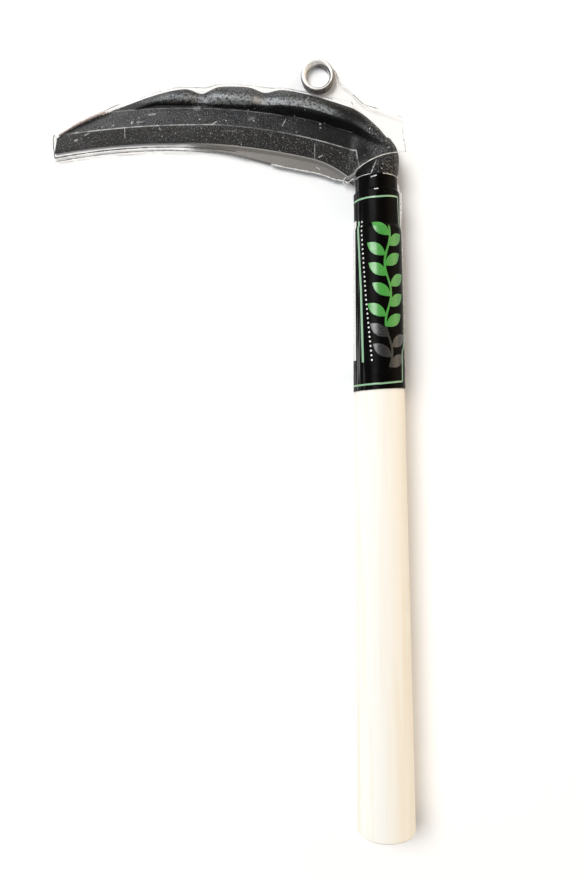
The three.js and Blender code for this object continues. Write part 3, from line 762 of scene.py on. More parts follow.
@dataclass(frozen=True)
class Nickel:
    """Bright plate on the rolled eyelet, with painted shade rings in the crease against the sheet and in the
    bore.
    """

    colour: tuple = (0.985, 0.98, 0.97)
    tarnish: tuple = (0.84, 0.82, 0.79)
    # Painted shade: its colour, the widths of its rings in the crease and in the bore, and how far they shift
    # to one side.
    painted_ring_shade: tuple = (0.085, 0.075, 0.068)
    crease: float = 0.0011
    hole_crease: float = 0.0007
    shade_shift: float = 0.0004
    metallic: float = 0.3
    roughness: float = 0.22

    def make(self, centre: Vector, radius: float, hole_radius: float) -> Material:
        """Returns the material.

        Args:
            centre: the middle of the eyelet.
            radius: its outside, where a ring of painted shade sits in the crease against the sheet.
            hole_radius: its bore, where a ring of painted shade sits too.

        Returns:
            The plated metal, with both rings of painted shade.
        """
        r = Recipe("nickel")
        cloud = r.noise(420.0, 3.0, 0.6)
        plated = r.blend(r.ramp(cloud, 0.52, 0.75, 0.0, 0.5), self.colour, self.tarnish)
        # Painted shade ring in the crease against the sheet, thicker on one side.
        rim = self.away(r, centre, -self.shade_shift)
        outer = r.ramp(rim, radius - self.crease, radius - self.crease / 2, 0.0, 0.9)
        # Painted shade ring in the bore, thicker on the other side.
        bore = self.away(r, centre, self.shade_shift)
        inner = r.times(
            r.ramp(bore, hole_radius + self.hole_crease, hole_radius + self.hole_crease / 2),
            r.ramp(bore, hole_radius - self.hole_crease / 2, hole_radius, 0.15, 0.9),
        )
        return r.principled(
            Base_Color=r.blend(r.most(outer, inner), plated, self.painted_ring_shade),
            Metallic=self.metallic,
            Roughness=r.ramp(cloud, 0.3, 0.7, self.roughness - 0.04, self.roughness + 0.12),
            Normal=r.bump(r.noise(900.0, 2.0), 0.00004, 0.3),
        )

    def away(self, r: Recipe, centre: Vector, shift: float) -> NodeSocket:
        """Returns how far places in plan are from the eyelet's middle, shifted a little to the handle, so
        that a painted shade ring is thicker on one side.
        """
        flat = r.node("ShaderNodeMapping", Vector=r.place, Scale=(1.0, 1.0, 0.0))
        flat.inputs["Location"].default_value = (-centre.x - shift, -centre.y + shift, 0.0)
        length = r.node("ShaderNodeVectorMath", Vector=flat.outputs["Vector"])
        length.operation = "LENGTH"
        return length.outputs["Value"]


@dataclass(frozen=True)
class BlackFilm:
    """Glossy printed film over the joint, with painted sheen streaks down its left side."""

    colour: tuple = (0.0024, 0.0022, 0.0022)
    scuff: tuple = (0.018, 0.018, 0.019)
    # Painted sheen: pale lines along the handle on the film's left side.
    painted_sheen_streak: tuple = (0.11, 0.11, 0.113)
    sheen_streaks_from: float = -0.0078
    sheen_streaks_full: float = -0.0118
    roughness: float = 0.24
    gloss: float = 0.03

    def make(self) -> Material:
        """Returns the material."""
        r = Recipe("black_film")
        cloud = r.noise(60.0, 3.0, 0.6)
        fine = r.noise(700.0, 2.0, 0.6)
        streaks = r.noise(1.0, 2.0, 0.5, r.stretched((800.0, 30.0, 800.0)))
        # Painted sheen, on the left side only.
        side = r.ramp(r.axis("X"), self.sheen_streaks_from, self.sheen_streaks_full)
        colour = r.blend(r.ramp(fine, 0.6, 0.8, 0.0, 0.5), self.colour, self.scuff)
        return r.principled(
            Base_Color=r.blend(r.times(side, r.ramp(streaks, 0.5, 0.68)), colour, self.painted_sheen_streak),
            Roughness=r.ramp(cloud, 0.3, 0.75, self.roughness, self.roughness + 0.14),
            Specular_IOR_Level=self.gloss,
            Normal=r.bump(r.plus(cloud, r.times(fine, 0.08)), 0.0006, 0.5),
        )


@dataclass(frozen=True)
class PrintedInk:
    """One flat colour of ink under the film's gloss, a little uneven."""

    name: str
    colour: tuple
    shade: tuple
    roughness: float = 0.2

    def make(self) -> Material:
        """Returns the material."""
        r = Recipe(self.name)
        mottle = r.noise(800.0, 2.0, 0.6)
        return r.principled(
            Base_Color=r.blend(r.ramp(mottle, 0.4, 0.75), self.colour, self.shade),
            Roughness=r.ramp(mottle, 0.3, 0.7, self.roughness, self.roughness + 0.12),
        )


@dataclass(frozen=True)
class ClearFilm:
    """Soft clear plastic sheet that mirrors a little, is a little hazy, lets the lamps through, and is
    painted grey near the heel.
    """

    tint: tuple = (0.998, 0.998, 0.997)
    skin: tuple = (0.90, 0.90, 0.89)
    metallic: float = 0.85
    straight: float = 0.003
    grazing: float = 0.4
    haze: float = 0.005
    # Painted grey near the heel, which stands in for the dark steel seen through the sheet where it folds
    # beyond the edge.
    painted_fold_grey: tuple = (0.225, 0.216, 0.207)
    fold_grey_share: float = 0.93
    # Painted glint just beyond the steel's edge.
    edge_glint: tuple = (0.46, 0.45, 0.43)
    roughness: float = 0.3

    def make(self) -> Material:
        """Returns the material."""
        r = Recipe("clear_film")
        cloud = r.noise(60.0, 4.0, 0.65)
        fine = r.noise(900.0, 2.0, 0.6)
        normal = r.bump(r.plus(cloud, r.times(fine, 0.04)), 0.0008, 0.35)
        beyond = r.attribute("beyond")
        # Painted grey from the steel's edge out to the rim near the heel, with a painted glint by the edge.
        hanging = r.times(r.ramp(beyond, -0.05, 0.2), r.ramp(r.attribute("from_rim"), 0.0, 0.5))
        shaded = r.times(r.attribute("painted_fold_grey"), hanging, r.ramp(fine, 0.2, 0.5, 0.8, 1.0))
        grey = r.blend(r.ramp(beyond, 0.9, 0.4, 0.0, 0.75), self.painted_fold_grey, self.edge_glint)
        hazy = r.ramp(cloud, 0.4, 0.8, 0.0, self.haze)
        mirrored = r.mirrored(self.straight, self.grazing, normal)
        return r.see_through(
            r.plus(hazy, mirrored, r.times(shaded, self.fold_grey_share)), self.tint,
            Base_Color=r.blend(r.ramp(shaded, 0.0, 0.3), self.skin, grey),
            Metallic=r.ramp(shaded, 0.0, 0.3, self.metallic, 0.0),
            Roughness=self.roughness, Normal=normal,
        )


@dataclass(frozen=True)
class WeldedRim:
    """The same plastic where it was pressed and melted, milky and a little grey; in white it is also worn by
    lines of painted highlight.
    """

    name: str
    skin: tuple
    share: float
    broken: float = 0.0
    roughness: float = 0.3
    tint: tuple = (0.99, 0.99, 0.985)

    def make(self) -> Material:
        """Returns the material."""
        r = Recipe(self.name)
        beads = r.noise(700.0, 3.0, 0.7)
        share = r.ramp(beads, 0.3, 0.65, self.share * 0.5, self.share)
        gaps = r.ramp(r.noise(90.0, 2.0, 0.6), 0.42, 0.56, 1.0 - self.broken, 1.0)
        return r.see_through(
            r.times(share, gaps), self.tint,
            Base_Color=self.skin, Roughness=self.roughness, Normal=r.bump(beads, 0.0003, 0.5),
        )


@dataclass(frozen=True)
class FoldedFilm:
    """The clear sheet where it is folded at the tip, painted with streaks of grey, brown and pale pink that
    stand in for its reflections.
    """

    # The fold's painted reflections: grey by the steel, brown, pale pink and a darker outer edge.
    steel_side: tuple = (0.050, 0.045, 0.044)
    painted_brown: tuple = (0.22, 0.155, 0.135)
    pale: tuple = (0.74, 0.66, 0.63)
    outer: tuple = (0.12, 0.11, 0.11)
    share: float = 0.86
    roughness: float = 0.3
    tint: tuple = (0.99, 0.985, 0.98)

    def make(self) -> Material:
        """Returns the material."""
        r = Recipe("folded_film")
        streaks = r.noise(1.0, 3.0, 0.6, r.stretched((260.0, 900.0, 260.0)))
        across = r.attribute("across")
        place = r.plus(across, r.ramp(streaks, 0.3, 0.7, -0.09, 0.09))
        colour = r.blend(r.ramp(place, 0.16, 0.34), self.steel_side, self.painted_brown)
        colour = r.blend(r.ramp(place, 0.42, 0.62), colour, self.pale)
        colour = r.blend(r.ramp(across, 0.86, 0.95, 0.0, 0.8), colour, self.outer)
        share = r.ramp(streaks, 0.25, 0.6, 0.75 * self.share, self.share)
        return r.see_through(
            r.times(share, r.ramp(place, 0.0, 0.4, 0.15, 1.0)), self.tint,
            Base_Color=colour, Roughness=self.roughness, Normal=r.bump(streaks, 0.0003, 0.5),
        )


@dataclass(frozen=True)
class PaleSheet:
    """The plain pale floor, which fades into the white of the studio far from the sickle."""

    colour: tuple = (0.985, 0.985, 0.98)
    weave: tuple = (0.965, 0.964, 0.96)
    glow_colour: tuple = (0.82, 0.88, 1.0)
    glow: float = 0.12
    roughness: float = 0.8
    middle: tuple = (0.0, 0.2, 0.0)
    fade_from: float = 0.36
    fade_to: float = 0.8

    def make(self) -> Material:
        """Returns the material."""
        r = Recipe("pale_sheet")
        cloud = r.noise(9.0, 2.0, 0.5)
        rays = r.node("ShaderNodeLightPath").outputs
        seen = rays["Is Camera Ray"]
        near = r.node(
            "ShaderNodeBsdfPrincipled",
            Base_Color=r.blend(r.ramp(cloud, 0.35, 0.75), self.colour, self.weave),
            Roughness=self.roughness,
            Emission_Color=self.glow_colour,
            Emission_Strength=r.times(seen, self.glow),
        )
        away = r.node("ShaderNodeVectorMath", Vector=r.place)
        away.operation = "DISTANCE"
        away.inputs[1].default_value = self.middle
        shown = r.most(seen, rays["Is Glossy Ray"], rays["Is Transmission Ray"])
        far = r.times(r.ramp(away.outputs["Value"], self.fade_from, self.fade_to), shown)
        white = r.node("ShaderNodeEmission", Color=WHITE, Strength=1.0)
        return r.surface(r.mixed(far, near.outputs["BSDF"], white.outputs["Emission"]))


@dataclass(frozen=True)
class JointSizes:
    """The sizes that more than one piece of the joint between handle and blade follows."""

    fit_gap: float = 0.0003
    handle_length: float = 0.321
    butt_radius: float = 0.0157
    shoulder_radius: float = 0.0125
    butt_rounding: float = 0.0015
    shoulder_rounding: float = 0.0008
    socket_radius: float = 0.0107
    socket_length: float = 0.0312
    ferrule_length: float = 0.0195
    ferrule_wall: float = 0.0007
    heel_gap: float = 0.0009
    film_setback: float = 0.0032

    @property
    def heel(self) -> Vector:
        """The corner where the cutting edge ends, at the height of the axis."""
        across = -self.socket_radius - self.heel_gap
        return Vector((across, self.handle_length + self.fit_gap + self.socket_length, 0.0))

    @property
    def ferrule_radius(self) -> float:
        """The outside of the ferrule."""
        return self.socket_radius + self.fit_gap + self.ferrule_wall

    def handle_radius(self, y: float) -> float:
        """The handle's cone at a distance from the butt."""
        run = self.handle_length - self.shoulder_rounding - self.butt_rounding
        return lerp(self.butt_radius, self.shoulder_radius, (y - self.butt_rounding) / run)


@dataclass
class Blade:
    """The pressed blade: ground bevel, flat web, crimped rib and a neck rolled into the socket."""

    joint: JointSizes
    thickness: float = 0.0016
    seam_gap: float = 0.0012
    neck_spread: float = 0.0012
    reach: float = 0.1643
    edge_radius: float = 0.345
    crown_reach: float = 0.1053
    crown_rise: float = 0.0227
    heel_run: float = 0.0224
    root_width: float = 0.034
    tip_slant: float = 0.002
    bevel_width: float = 0.0112
    edge_land: float = 0.0003
    plunge_run: float = 0.0015
    plunge_beyond: float = 0.0019
    plunge_rise: float = 0.0169
    plunge_lean: float = 0.13
    web_width: float = 0.0205
    rib_height: float = 0.0043
    rib_run: float = 0.011
    crimp_depth: float = 0.0033
    crimp_half_width: float = 0.006
    crimp_places: tuple = (0.5, 0.71)
    crimp_depths: tuple = (1.0, 0.8)
    crimp_squashes: tuple = (0.8, 0.5)
    groove_shares: tuple = (0, 0.41, 0.6, 0.72, 0.85, 0.95, 1)
    groove_starts: tuple = (-0.0030, -0.0019, -0.0011, -0.0005, 0.0006, 0.0, -0.0003)
    groove_ends: tuple = (0.0002, 0.0009, 0.0011, 0.0028, 0.0044, 0.0036, 0.0033)
    groove_soft: float = 0.0005
    flank_band: float = 0.0026
    width_shares: tuple = ((0, 0.1, 0.25, 0.42, 0.6, 0.8, 1), (0.24, 0.4, 0.62, 0.83, 0.93, 1, 0.97))
    bevel_shares: tuple = ((0, 0.14, 0.33, 0.45, 0.56, 0.8, 1), (0.84, 0.78, 0.81, 0.86, 0.94, 0.965, 0.93))
    lift_shares: tuple = ((0, 0.1, 0.22, 0.4, 0.62, 0.84, 1), (0, 0.3, 0.82, 1, 0.93, 0.55, 0.1))
    turn_shares: tuple = (
        (0, 0.12, 0.25, 0.36, 0.5, 0.64, 0.78, 0.9, 1), (0, 0.057, 0.159, 0.236, 0.318, 0.433, 0.6, 0.81, 1)
    )
    # Where the painted groove shade and flank highlight fade in and out along the blade, and how strong the
    # flank highlight is.
    groove_fade_shares: tuple = (0.14, 0.2)
    flank_fade_shares: tuple = (0.13, 0.2)
    flank_light_rise_shares: tuple = (0.25, 0.6)
    flank_light_fall_shares: tuple = (0.88, 0.99)
    faint_flank_share: float = 0.18
    high_flank_share: float = 0.4
    tip_slant_share: float = 0.08
    narrow_foot_share: float = 0.8
    curl_start_share: float = 0.5
    bevel_fade_turns: tuple = (0.5, 0.62)
    stations: int = 420
    turn_stations: int = 110
    neck_end_stations: int = 10
    bevel_steps: int = 10
    web_steps: int = 14
    rib_steps: int = 46
    finish: BlackenedSteel = field(default_factory=BlackenedSteel)

    def __post_init__(self) -> None:
        """Works out the places and curves that follow from the sizes."""
        self.heel = self.joint.heel
        self.tip_x = self.heel.x - self.reach
        middle = self.heel.y + self.crown_rise - self.edge_radius
        self.centre = Vector((self.heel.x - self.crown_reach, middle))
        self.bottom = -self.joint.socket_radius
        self.width_share = curve_through(*self.width_shares)
        self.groove_start = curve_through(self.groove_shares, self.groove_starts)
        self.groove_end = curve_through(self.groove_shares, self.groove_ends)
        self.bevel_share = curve_through(*self.bevel_shares)
        self.lift_share = curve_through(*self.lift_shares)
        self.turn_share = curve_through(*self.turn_shares)

    def arc_y(self, x: float, radius: float | None = None) -> float:
        """The height of an arc about the edge's centre, at a place along the blade."""
        radius = self.edge_radius if radius is None else radius
        return self.centre.y + math.sqrt(radius * radius - (x - self.centre.x) ** 2)

    def edge_y(self, x: float) -> float:
        """The cutting edge, which leaves its arc near the heel and drops to it."""
        drop = self.arc_y(self.heel.x) - self.heel.y
        share = min(max((x - self.heel.x + self.heel_run) / self.heel_run, 0.0), 1.0)
        return self.arc_y(x) - drop * share * share

    def share_along(self, x: float) -> float:
        """How far along the blade a place is, from the tip."""
        return (x - self.tip_x) / self.reach

    def crimps(self, x: float) -> list:
        """How far each crimp across the rib is pressed in at a place, from 0 to 1."""
        aways = [(x - self.tip_x - share * self.reach) / self.crimp_half_width for share in self.crimp_places]
        return [math.exp(-away * away) for away in aways]

    def full_back_y(self, x: float) -> float:
        """The back of the blade without its crimps."""
        return self.arc_y(x) + self.root_width * float(self.width_share(self.share_along(x)))

    def rib(self, x: float) -> tuple:
        """The rib across the blade at x: its foot, the back and its lift."""
        dip = sum(c * d for c, d in zip(self.crimps(x), self.crimp_depths))
        width = self.full_back_y(x) - self.crimp_depth * dip - self.edge_y(x)
        below = self.arc_y(x) - self.edge_y(x)
        foot = min(self.web_width + below, width * self.narrow_foot_share)
        fullness = float(smoothstep(width - below - self.web_width, 0.0, self.rib_run))
        squash = min(1.0 - c * s for c, s in zip(self.crimps(x), self.crimp_squashes))
        return width, below, foot, self.rib_height * fullness * squash

    def level(self, rib: tuple, a: np.ndarray) -> np.ndarray:
        """The height of the sheet's middle across the blade, at distances from the edge."""
        width, _, foot, lift = rib
        share = np.clip((a - foot) / (width - foot), 0.0, 1.0)
        return self.bottom + self.thickness / 2 + lift * self.lift_share(share)

    def profile(self, x: float) -> dict:
        """The sheet across the blade at x: distances, heights, walls and the ridge's distance."""
        rib = self.rib(x)
        width, below, foot, _ = rib
        ground = self.ground_width(x)
        bevel = min(ground, foot * self.narrow_foot_share)
        a = np.concatenate([
            np.linspace(0.0, bevel, self.bevel_steps, endpoint=False),
            np.linspace(bevel, foot, self.web_steps, endpoint=False),
            np.linspace(foot, width, self.rib_steps),
        ])
        return {
            "a": a, "z": self.level(rib, a), "ridge": (a - ground) / MILLIMETRE,
            "wall": self.wall(a, ground, self.before_plunge(x, self.edge_y(x) + a) / self.plunge_run),
            # crown holds the painted flank highlight and the painted groove shade.
            "crown": self.crown(x, rib, a), "foot": self.past_foot(x, rib, a) / MILLIMETRE,
        }

    def ground_width(self, x: float) -> float:
        """How far from the edge the ground bevel reaches at x."""
        return self.bevel_width * float(self.bevel_share(self.share_along(x))) + self.rib(x)[1]

    def wall(self, a: np.ndarray, ground: float, share: np.ndarray) -> np.ndarray:
        """How thick the sheet is across the blade, ground down by a share from 0 to 1."""
        ground_wall = self.edge_land + (self.thickness - self.edge_land) * np.minimum(a / ground, 1.0)
        return self.thickness + (ground_wall - self.thickness) * np.clip(share, 0.0, 1.0)

    def before_plunge(self, x: np.ndarray, y: np.ndarray) -> np.ndarray:
        """How far places in plan lie before the line at which the ground bevel ends."""
        line = self.heel.x + self.plunge_beyond + self.plunge_lean * (self.heel.y + self.plunge_rise - y)
        return line - x

    def past_foot(self, x: float, rib: tuple, a: np.ndarray) -> np.ndarray:
        """How far places lie beyond the start of the groove at the rib's foot."""
        return a - rib[1] - self.web_width - float(self.groove_start(self.share_along(x)))

    def crown(self, x: float, rib: tuple, a: np.ndarray) -> np.ndarray:
        """How much painted light the rib gets across the blade: 1 for painted highlight on its inner flank,
        -1 for painted shade in the groove at its foot.
        """
        along, soft = self.share_along(x), self.groove_soft
        past = self.past_foot(x, rib, a)
        end = self.groove_end(along) - self.groove_start(along)
        pressed = max(c * s for c, s in zip(self.crimps(x), self.crimp_squashes))
        # groove is the share of painted shade at the rib's foot.
        groove = smoothstep(past, 0.0, 2.0 * soft) * (1.0 - smoothstep(past, end - soft, end + soft))
        groove = groove * smoothstep(along, *self.groove_fade_shares) * (1.0 - pressed)
        # rubbed fades the flank's painted highlight in and out along the blade.
        rubbed = 1.0 - smoothstep(along, *self.flank_light_fall_shares)
        rubbed = smoothstep(along, *self.flank_light_rise_shares) * rubbed
        beyond = smoothstep(past, end + self.flank_band, end + 2.0 * self.flank_band)
        flank = smoothstep(past, end, end + 2.0 * soft) * lerp(1.0, self.high_flank_share, beyond)
        flank = flank * lerp(self.faint_flank_share, 1.0, rubbed)
        return flank * smoothstep(along, *self.flank_fade_shares) - groove

    def neck_profile(self, turn: float, spread: float) -> dict:
        """The sheet across the neck, turned from 0 at the socket to 1 at the blade.

        Args:
            turn: the share of the quarter turn.
            spread: how much wider than the socket the neck starts.

        Returns:
            The same arrays as profile gives.
        """
        rib = self.rib(self.heel.x)
        width = rib[0]
        flat = self.profile(self.heel.x)["a"] / width
        radius = self.joint.socket_radius - self.thickness / 2
        arched = float(smoothstep(1.0 - turn, 0.0, 1.0))
        rounded = 1.0 - (1.0 - arched) ** 2
        round_reach = self.joint.heel_gap + 2.0 * self.joint.socket_radius + spread
        outer_reach = lerp(round_reach, width, float(self.turn_share(turn)))
        reach = outer_reach - self.joint.heel_gap * arched - self.thickness * rounded
        curled = float(smoothstep(self.curl_start_share - turn, 0.0, self.curl_start_share))
        under = (QUARTER_TURN - self.seam_gap / 2 / radius) / math.pi
        place = lerp(flat, np.linspace(-under, 1.0 + under, len(flat)), curled)
        above = np.where(place < 0.0, -place, np.minimum(place, 2.0 - place))
        angle = math.pi * (1.0 - place)
        across = lerp(above, (1.0 + np.cos(angle)) / 2.0, rounded)
        shown = np.clip(place, 0.0, 1.0) * width
        a = reach * across
        ground = self.ground_width(self.heel.x)
        ray = (math.cos(turn * QUARTER_TURN), math.sin(turn * QUARTER_TURN))
        before = self.before_plunge(self.heel.x + ray[0] * a, self.heel.y + ray[1] * a)
        kept = float(smoothstep(turn, *self.bevel_fade_turns))
        made = {
            "a": a,
            "z": lerp(self.level(rib, shown), radius * np.sin(angle), arched),
            "wall": self.wall(a, ground, before / self.plunge_run * kept),
            "ridge": (a - ground) / MILLIMETRE + HIDDEN * (1.0 - kept),
            "crown": self.crown(self.heel.x, rib, shown) * (1.0 - arched),
            "foot": np.full(len(flat), HIDDEN),
        }
        over, below = self.faces(made)
        made["a"] = made["a"] + self.joint.heel_gap * arched - min(over[:, 0].min(), below[:, 0].min())
        return made

    def faces(self, made: dict) -> tuple:
        """The two faces of the sheet on either side of its middle line."""
        line = np.stack([made["a"], made["z"]], axis=1)
        along = np.gradient(line, axis=0)
        along /= np.linalg.norm(along, axis=1)[:, None]
        normal = np.stack([-along[:, 1], along[:, 0]], axis=1)
        half = self.thickness / 2
        return line + normal * (made["wall"] - half)[:, None], line - normal * half

    def section(self, made: dict, x: float, y: float, turn: float, slant: float) -> tuple:
        """Places both faces of one section in the frame."""
        across = (math.cos(turn * QUARTER_TURN), math.sin(turn * QUARTER_TURN))
        width = made["a"][-1]
        placed = []
        for face in self.faces(made):
            lean = slant * face[:, 0] / width
            placed.append(np.stack(
                [x + across[0] * face[:, 0] + lean, y + across[1] * face[:, 0], face[:, 1]], axis=1
            ))
        return placed[0], placed[1]

    def sections(self) -> tuple:
        """Every section from the tip to the end of the socket, with the marks that the finish reads."""
        over, under, marks = [], [], {"ridge": [], "plunge": [], "crown": [], "foot": []}

        def add(made: dict, x: float, y: float, turn: float, slant: float = 0.0) -> None:
            """Adds one section."""
            top, low = self.section(made, x, y, turn, slant)
            over.append(top)
            under.append(low)
            made["plunge"] = self.before_plunge(top[:, 0], top[:, 1]) / MILLIMETRE
            for name, values in marks.items():
                values.append(made[name])

        for x in np.linspace(self.tip_x, self.heel.x, self.stations):
            slant = self.tip_slant * max(0.0, 1.0 - self.share_along(x) / self.tip_slant_share)
            add(self.profile(x), x, self.edge_y(x), 1.0, slant)
        corner = (self.heel.x, self.heel.y)
        for turn in np.linspace(1.0, 0.0, self.turn_stations)[1:]:
            add(self.neck_profile(turn, self.neck_spread), *corner, turn)
        count = self.neck_end_stations
        for share in np.linspace(1.0 / count, 1.0, count):
            eased = self.neck_profile(0.0, self.neck_spread * (1.0 - smoothstep(share, 0.0, 1.0)))
            add(eased, self.heel.x, self.heel.y - self.joint.film_setback * share, 0.0)
        add(self.neck_profile(0.0, 0.0), self.heel.x, self.heel.y - self.joint.socket_length, 0.0)
        return np.array(over), np.array(under), {name: np.array(values) for name, values in marks.items()}

    def build(self) -> Object:
        """Makes the blade and lets it replace its node."""
        over, under, marks = self.sections()
        piece = plate("blade_steel", over, under)
        hidden = {"ridge": HIDDEN, "plunge": -HIDDEN, "crown": 0.0, "foot": HIDDEN}
        for name, values in marks.items():
            give_attribute(piece, name, np.concatenate([values.ravel(), np.full(values.size, hidden[name])]))
        wear(piece, self.finish.make())
        settle(piece, Body.TOOL, Slot.BLACKENED_STEEL, "blade")
        return piece


@dataclass
class Grip:
    """The turned handle, with the ferrule and the cross pin that hold the socket on it."""

    joint: JointSizes
    tenon_length: float = 0.025
    tenon_rounding: float = 0.001
    sheet_thickness: float = 0.0016
    sides: int = 128
    finish: PaleWood = field(default_factory=PaleWood)
    metal: BrightSteel = field(default_factory=BrightSteel)

    def build(self) -> None:
        """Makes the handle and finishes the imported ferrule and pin."""
        j = self.joint
        tenon = j.socket_radius - self.sheet_thickness - j.fit_gap
        end = j.handle_length + self.tenon_length
        butt, shoulder, tip = j.butt_rounding, j.shoulder_rounding, self.tenon_rounding
        profile = [
            (0.0, 0.0),
            *rounding(j.butt_radius - butt, butt, butt, -QUARTER_TURN, 0.0),
            *rounding(j.shoulder_radius - shoulder, j.handle_length - shoulder, shoulder, 0.0, QUARTER_TURN),
            (tenon, j.handle_length),
            *rounding(tenon - tip, end - tip, tip, 0.0, QUARTER_TURN),
            (0.0, end),
        ]
        piece = ring("turned_handle", profile, self.sides, Axis.HANDLE)
        wear(piece, self.finish.make())
        settle(piece, Body.TOOL, Slot.PALE_WOOD, "handle")
        metal = self.metal.make()
        for name in ("ferrule", "socket_pin"):
            wear(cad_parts[name], metal)
            log.info("%s keeps its packed shape", name)


@dataclass
class Label:
    """The printed film round the joint: black ground, a pale frame, a vine, dots and a bare panel.

    The print is laid out flat, in degrees round the joint from its top line and metres along it, and
    then wrapped.
    """

    joint: JointSizes
    thickness: float = 0.0002
    length: float = 0.113
    skew: float = 0.0015
    sides: int = 160
    rows: int = 150
    ink_lift: float = 0.00004
    ink: float = 0.00003
    line_width: float = 0.0009
    thick_line_width: float = 0.0013
    line_step: float = 0.0007
    frame_back: float = -165.0
    frame_top: float = 0.3366
    frame_low: float = 0.2386
    frame_turns: tuple = (-110.0, -50.0, 0.0, 30.0, 52.0)
    frame_corner: float = 4.0
    frame_skew: float = 0.0022
    top_skew_turns: tuple = (0.0, 100.0)
    low_skew_turns: tuple = (-20.0, 73.75)
    jog_right: tuple = (
        (59.0, 0.3378), (62.0, 0.3277), (66.0, 0.3236), (70.0, 0.3206), (76.0, 0.3183),
        (76.0, 0.2954), (73.0, 0.2733), (65.0, 0.2582), (57.0, 0.2559), (55.0, 0.2404),
    )
    thick_line: tuple = ((-57.0, 0.3252), (-48.0, 0.2886), (-44.0, 0.2504))
    panel_from: float = -160.0
    panel_to: float = -68.0
    panel_low: float = 0.252
    panel_top: float = 0.3262
    panel_steps: tuple = (48, 60)
    vine_turn: float = 17.0
    vine_foot: float = 0.2475
    leaf_gap: float = 0.0053
    green_leaves: int = 10
    dark_leaves: int = 4
    leaf_length: float = 0.0118
    leaf_width: float = 0.0058
    leaf_lean: float = 0.95
    leaf_sides: int = 32
    leaf_rings: int = 14
    stem_points: int = 60
    stem_width: float = 0.0011
    stem_sway: float = 0.0016
    sway_pitch: float = 0.031
    dot_row: tuple = ((-46.0, 0.3245), (-34.0, 0.2829), (-22.0, 0.2514))
    dot_gap: float = 0.0024
    dot_width: float = 0.001
    dot_sides: int = 16
    dot_rings: int = 6
    fin_turn: float = 80.0
    fin_ends: tuple = (0.2420, 0.3462)
    fin_shares: tuple = (0, 0.03, 0.45, 0.78, 0.83, 0.98, 1)
    fin_heights: tuple = (0.0001, 0.0004, 0.0004, 0.0005, 0.0011, 0.0011, 0.0002)
    fin_width: float = 0.0003
    fin_steps: int = 80
    # Painted glints on the film's rounded edges.
    glints: tuple = (((-20.5, 0.3474), (-4.5, 0.3481)), ((-12.0, 0.3406), (-1.0, 0.3408)))
    glint_width: float = 0.00055
    glint_unevenness: float = 0.8
    # The painted highlight along the sleeve's top edge.
    edge_spans: tuple = ((-84.0, -22.0), (12.0, 84.0))
    edge_inset: float = 0.0002
    edge_width: float = 0.0003
    edge_unevenness: float = 0.9
    # White painted glint, worn by the fin and by the glint and edge lines.
    fin: WeldedRim = WeldedRim("film_fin", (0.93, 0.93, 0.92), 0.95, broken=0.3, roughness=0.15)
    border: PrintedInk = PrintedInk("pale_green_ink", (0.30, 0.52, 0.33), (0.24, 0.44, 0.27))
    leaf: PrintedInk = PrintedInk("leaf_green_ink", (0.075, 0.36, 0.065), (0.055, 0.28, 0.05))
    dark_leaf: PrintedInk = PrintedInk("dark_leaf_ink", (0.033, 0.034, 0.035), (0.024, 0.025, 0.026))
    panel: PrintedInk = PrintedInk("white_ink", (0.80, 0.80, 0.78), (0.74, 0.74, 0.72))
    finish: BlackFilm = field(default_factory=BlackFilm)

    @property
    def top(self) -> float:
        """Where the film ends on the neck."""
        return self.joint.heel.y - self.joint.film_setback

    def steps(self) -> list:
        """Radius and height pairs of the film's inside, from the handle up to the neck."""
        j = self.joint
        bottom = self.top - self.length
        end = j.handle_length + j.fit_gap + j.ferrule_length + j.fit_gap
        step = j.ferrule_wall + j.fit_gap
        return [
            (j.handle_radius(bottom) + j.fit_gap, bottom),
            (j.handle_radius(j.handle_length) + j.fit_gap, j.handle_length - j.shoulder_rounding),
            (j.shoulder_radius + j.fit_gap, j.handle_length + j.fit_gap),
            (j.ferrule_radius + j.fit_gap, j.handle_length + j.fit_gap + step * 2.0),
            (j.ferrule_radius + j.fit_gap, end),
            (j.socket_radius + j.fit_gap, end + step),
            (j.socket_radius + j.fit_gap, self.top),
        ]

    def radius(self, y: np.ndarray) -> np.ndarray:
        """The film's outside at heights along the handle."""
        steps = self.steps()
        inside = np.interp(y, [height for _, height in steps], [radius for radius, _ in steps])
        return inside + self.thickness

    def wrapped(self, flat: np.ndarray, lift: float | np.ndarray) -> np.ndarray:
        """Wraps flat places round the film.

        Args:
            flat: x is the distance round from the top line, y is along the handle.
            lift: how far off the film the places lie, one number or one for each place.

        Returns:
            The places in the frame.
        """
        radius = self.radius(flat[:, 1]) + lift
        angle = flat[:, 0] / self.radius(np.full(len(flat), self.joint.handle_length))
        return np.stack([radius * np.sin(angle), flat[:, 1], radius * np.cos(angle)], axis=1)

    def sleeve(self) -> Object:
        """Makes the film itself, skewed at its lower end as it was wrapped."""
        inside = self.steps()
        heights = np.unique(np.concatenate([
            np.linspace(inside[0][1], inside[-1][1], self.rows), [height for _, height in inside]
        ]))
        outer = [(float(self.radius(y)), float(y)) for y in heights]
        inner = [(r - self.thickness, y) for r, y in reversed(outer)]
        piece = ring("wrapped_film", outer + inner, self.sides, Axis.HANDLE)
        low = inside[0][1] + self.skew / 2
        for vertex in piece.data.vertices:
            if vertex.co.y < low:
                vertex.co.y += self.skew / 2 * vertex.co.x / self.joint.butt_radius
        return piece

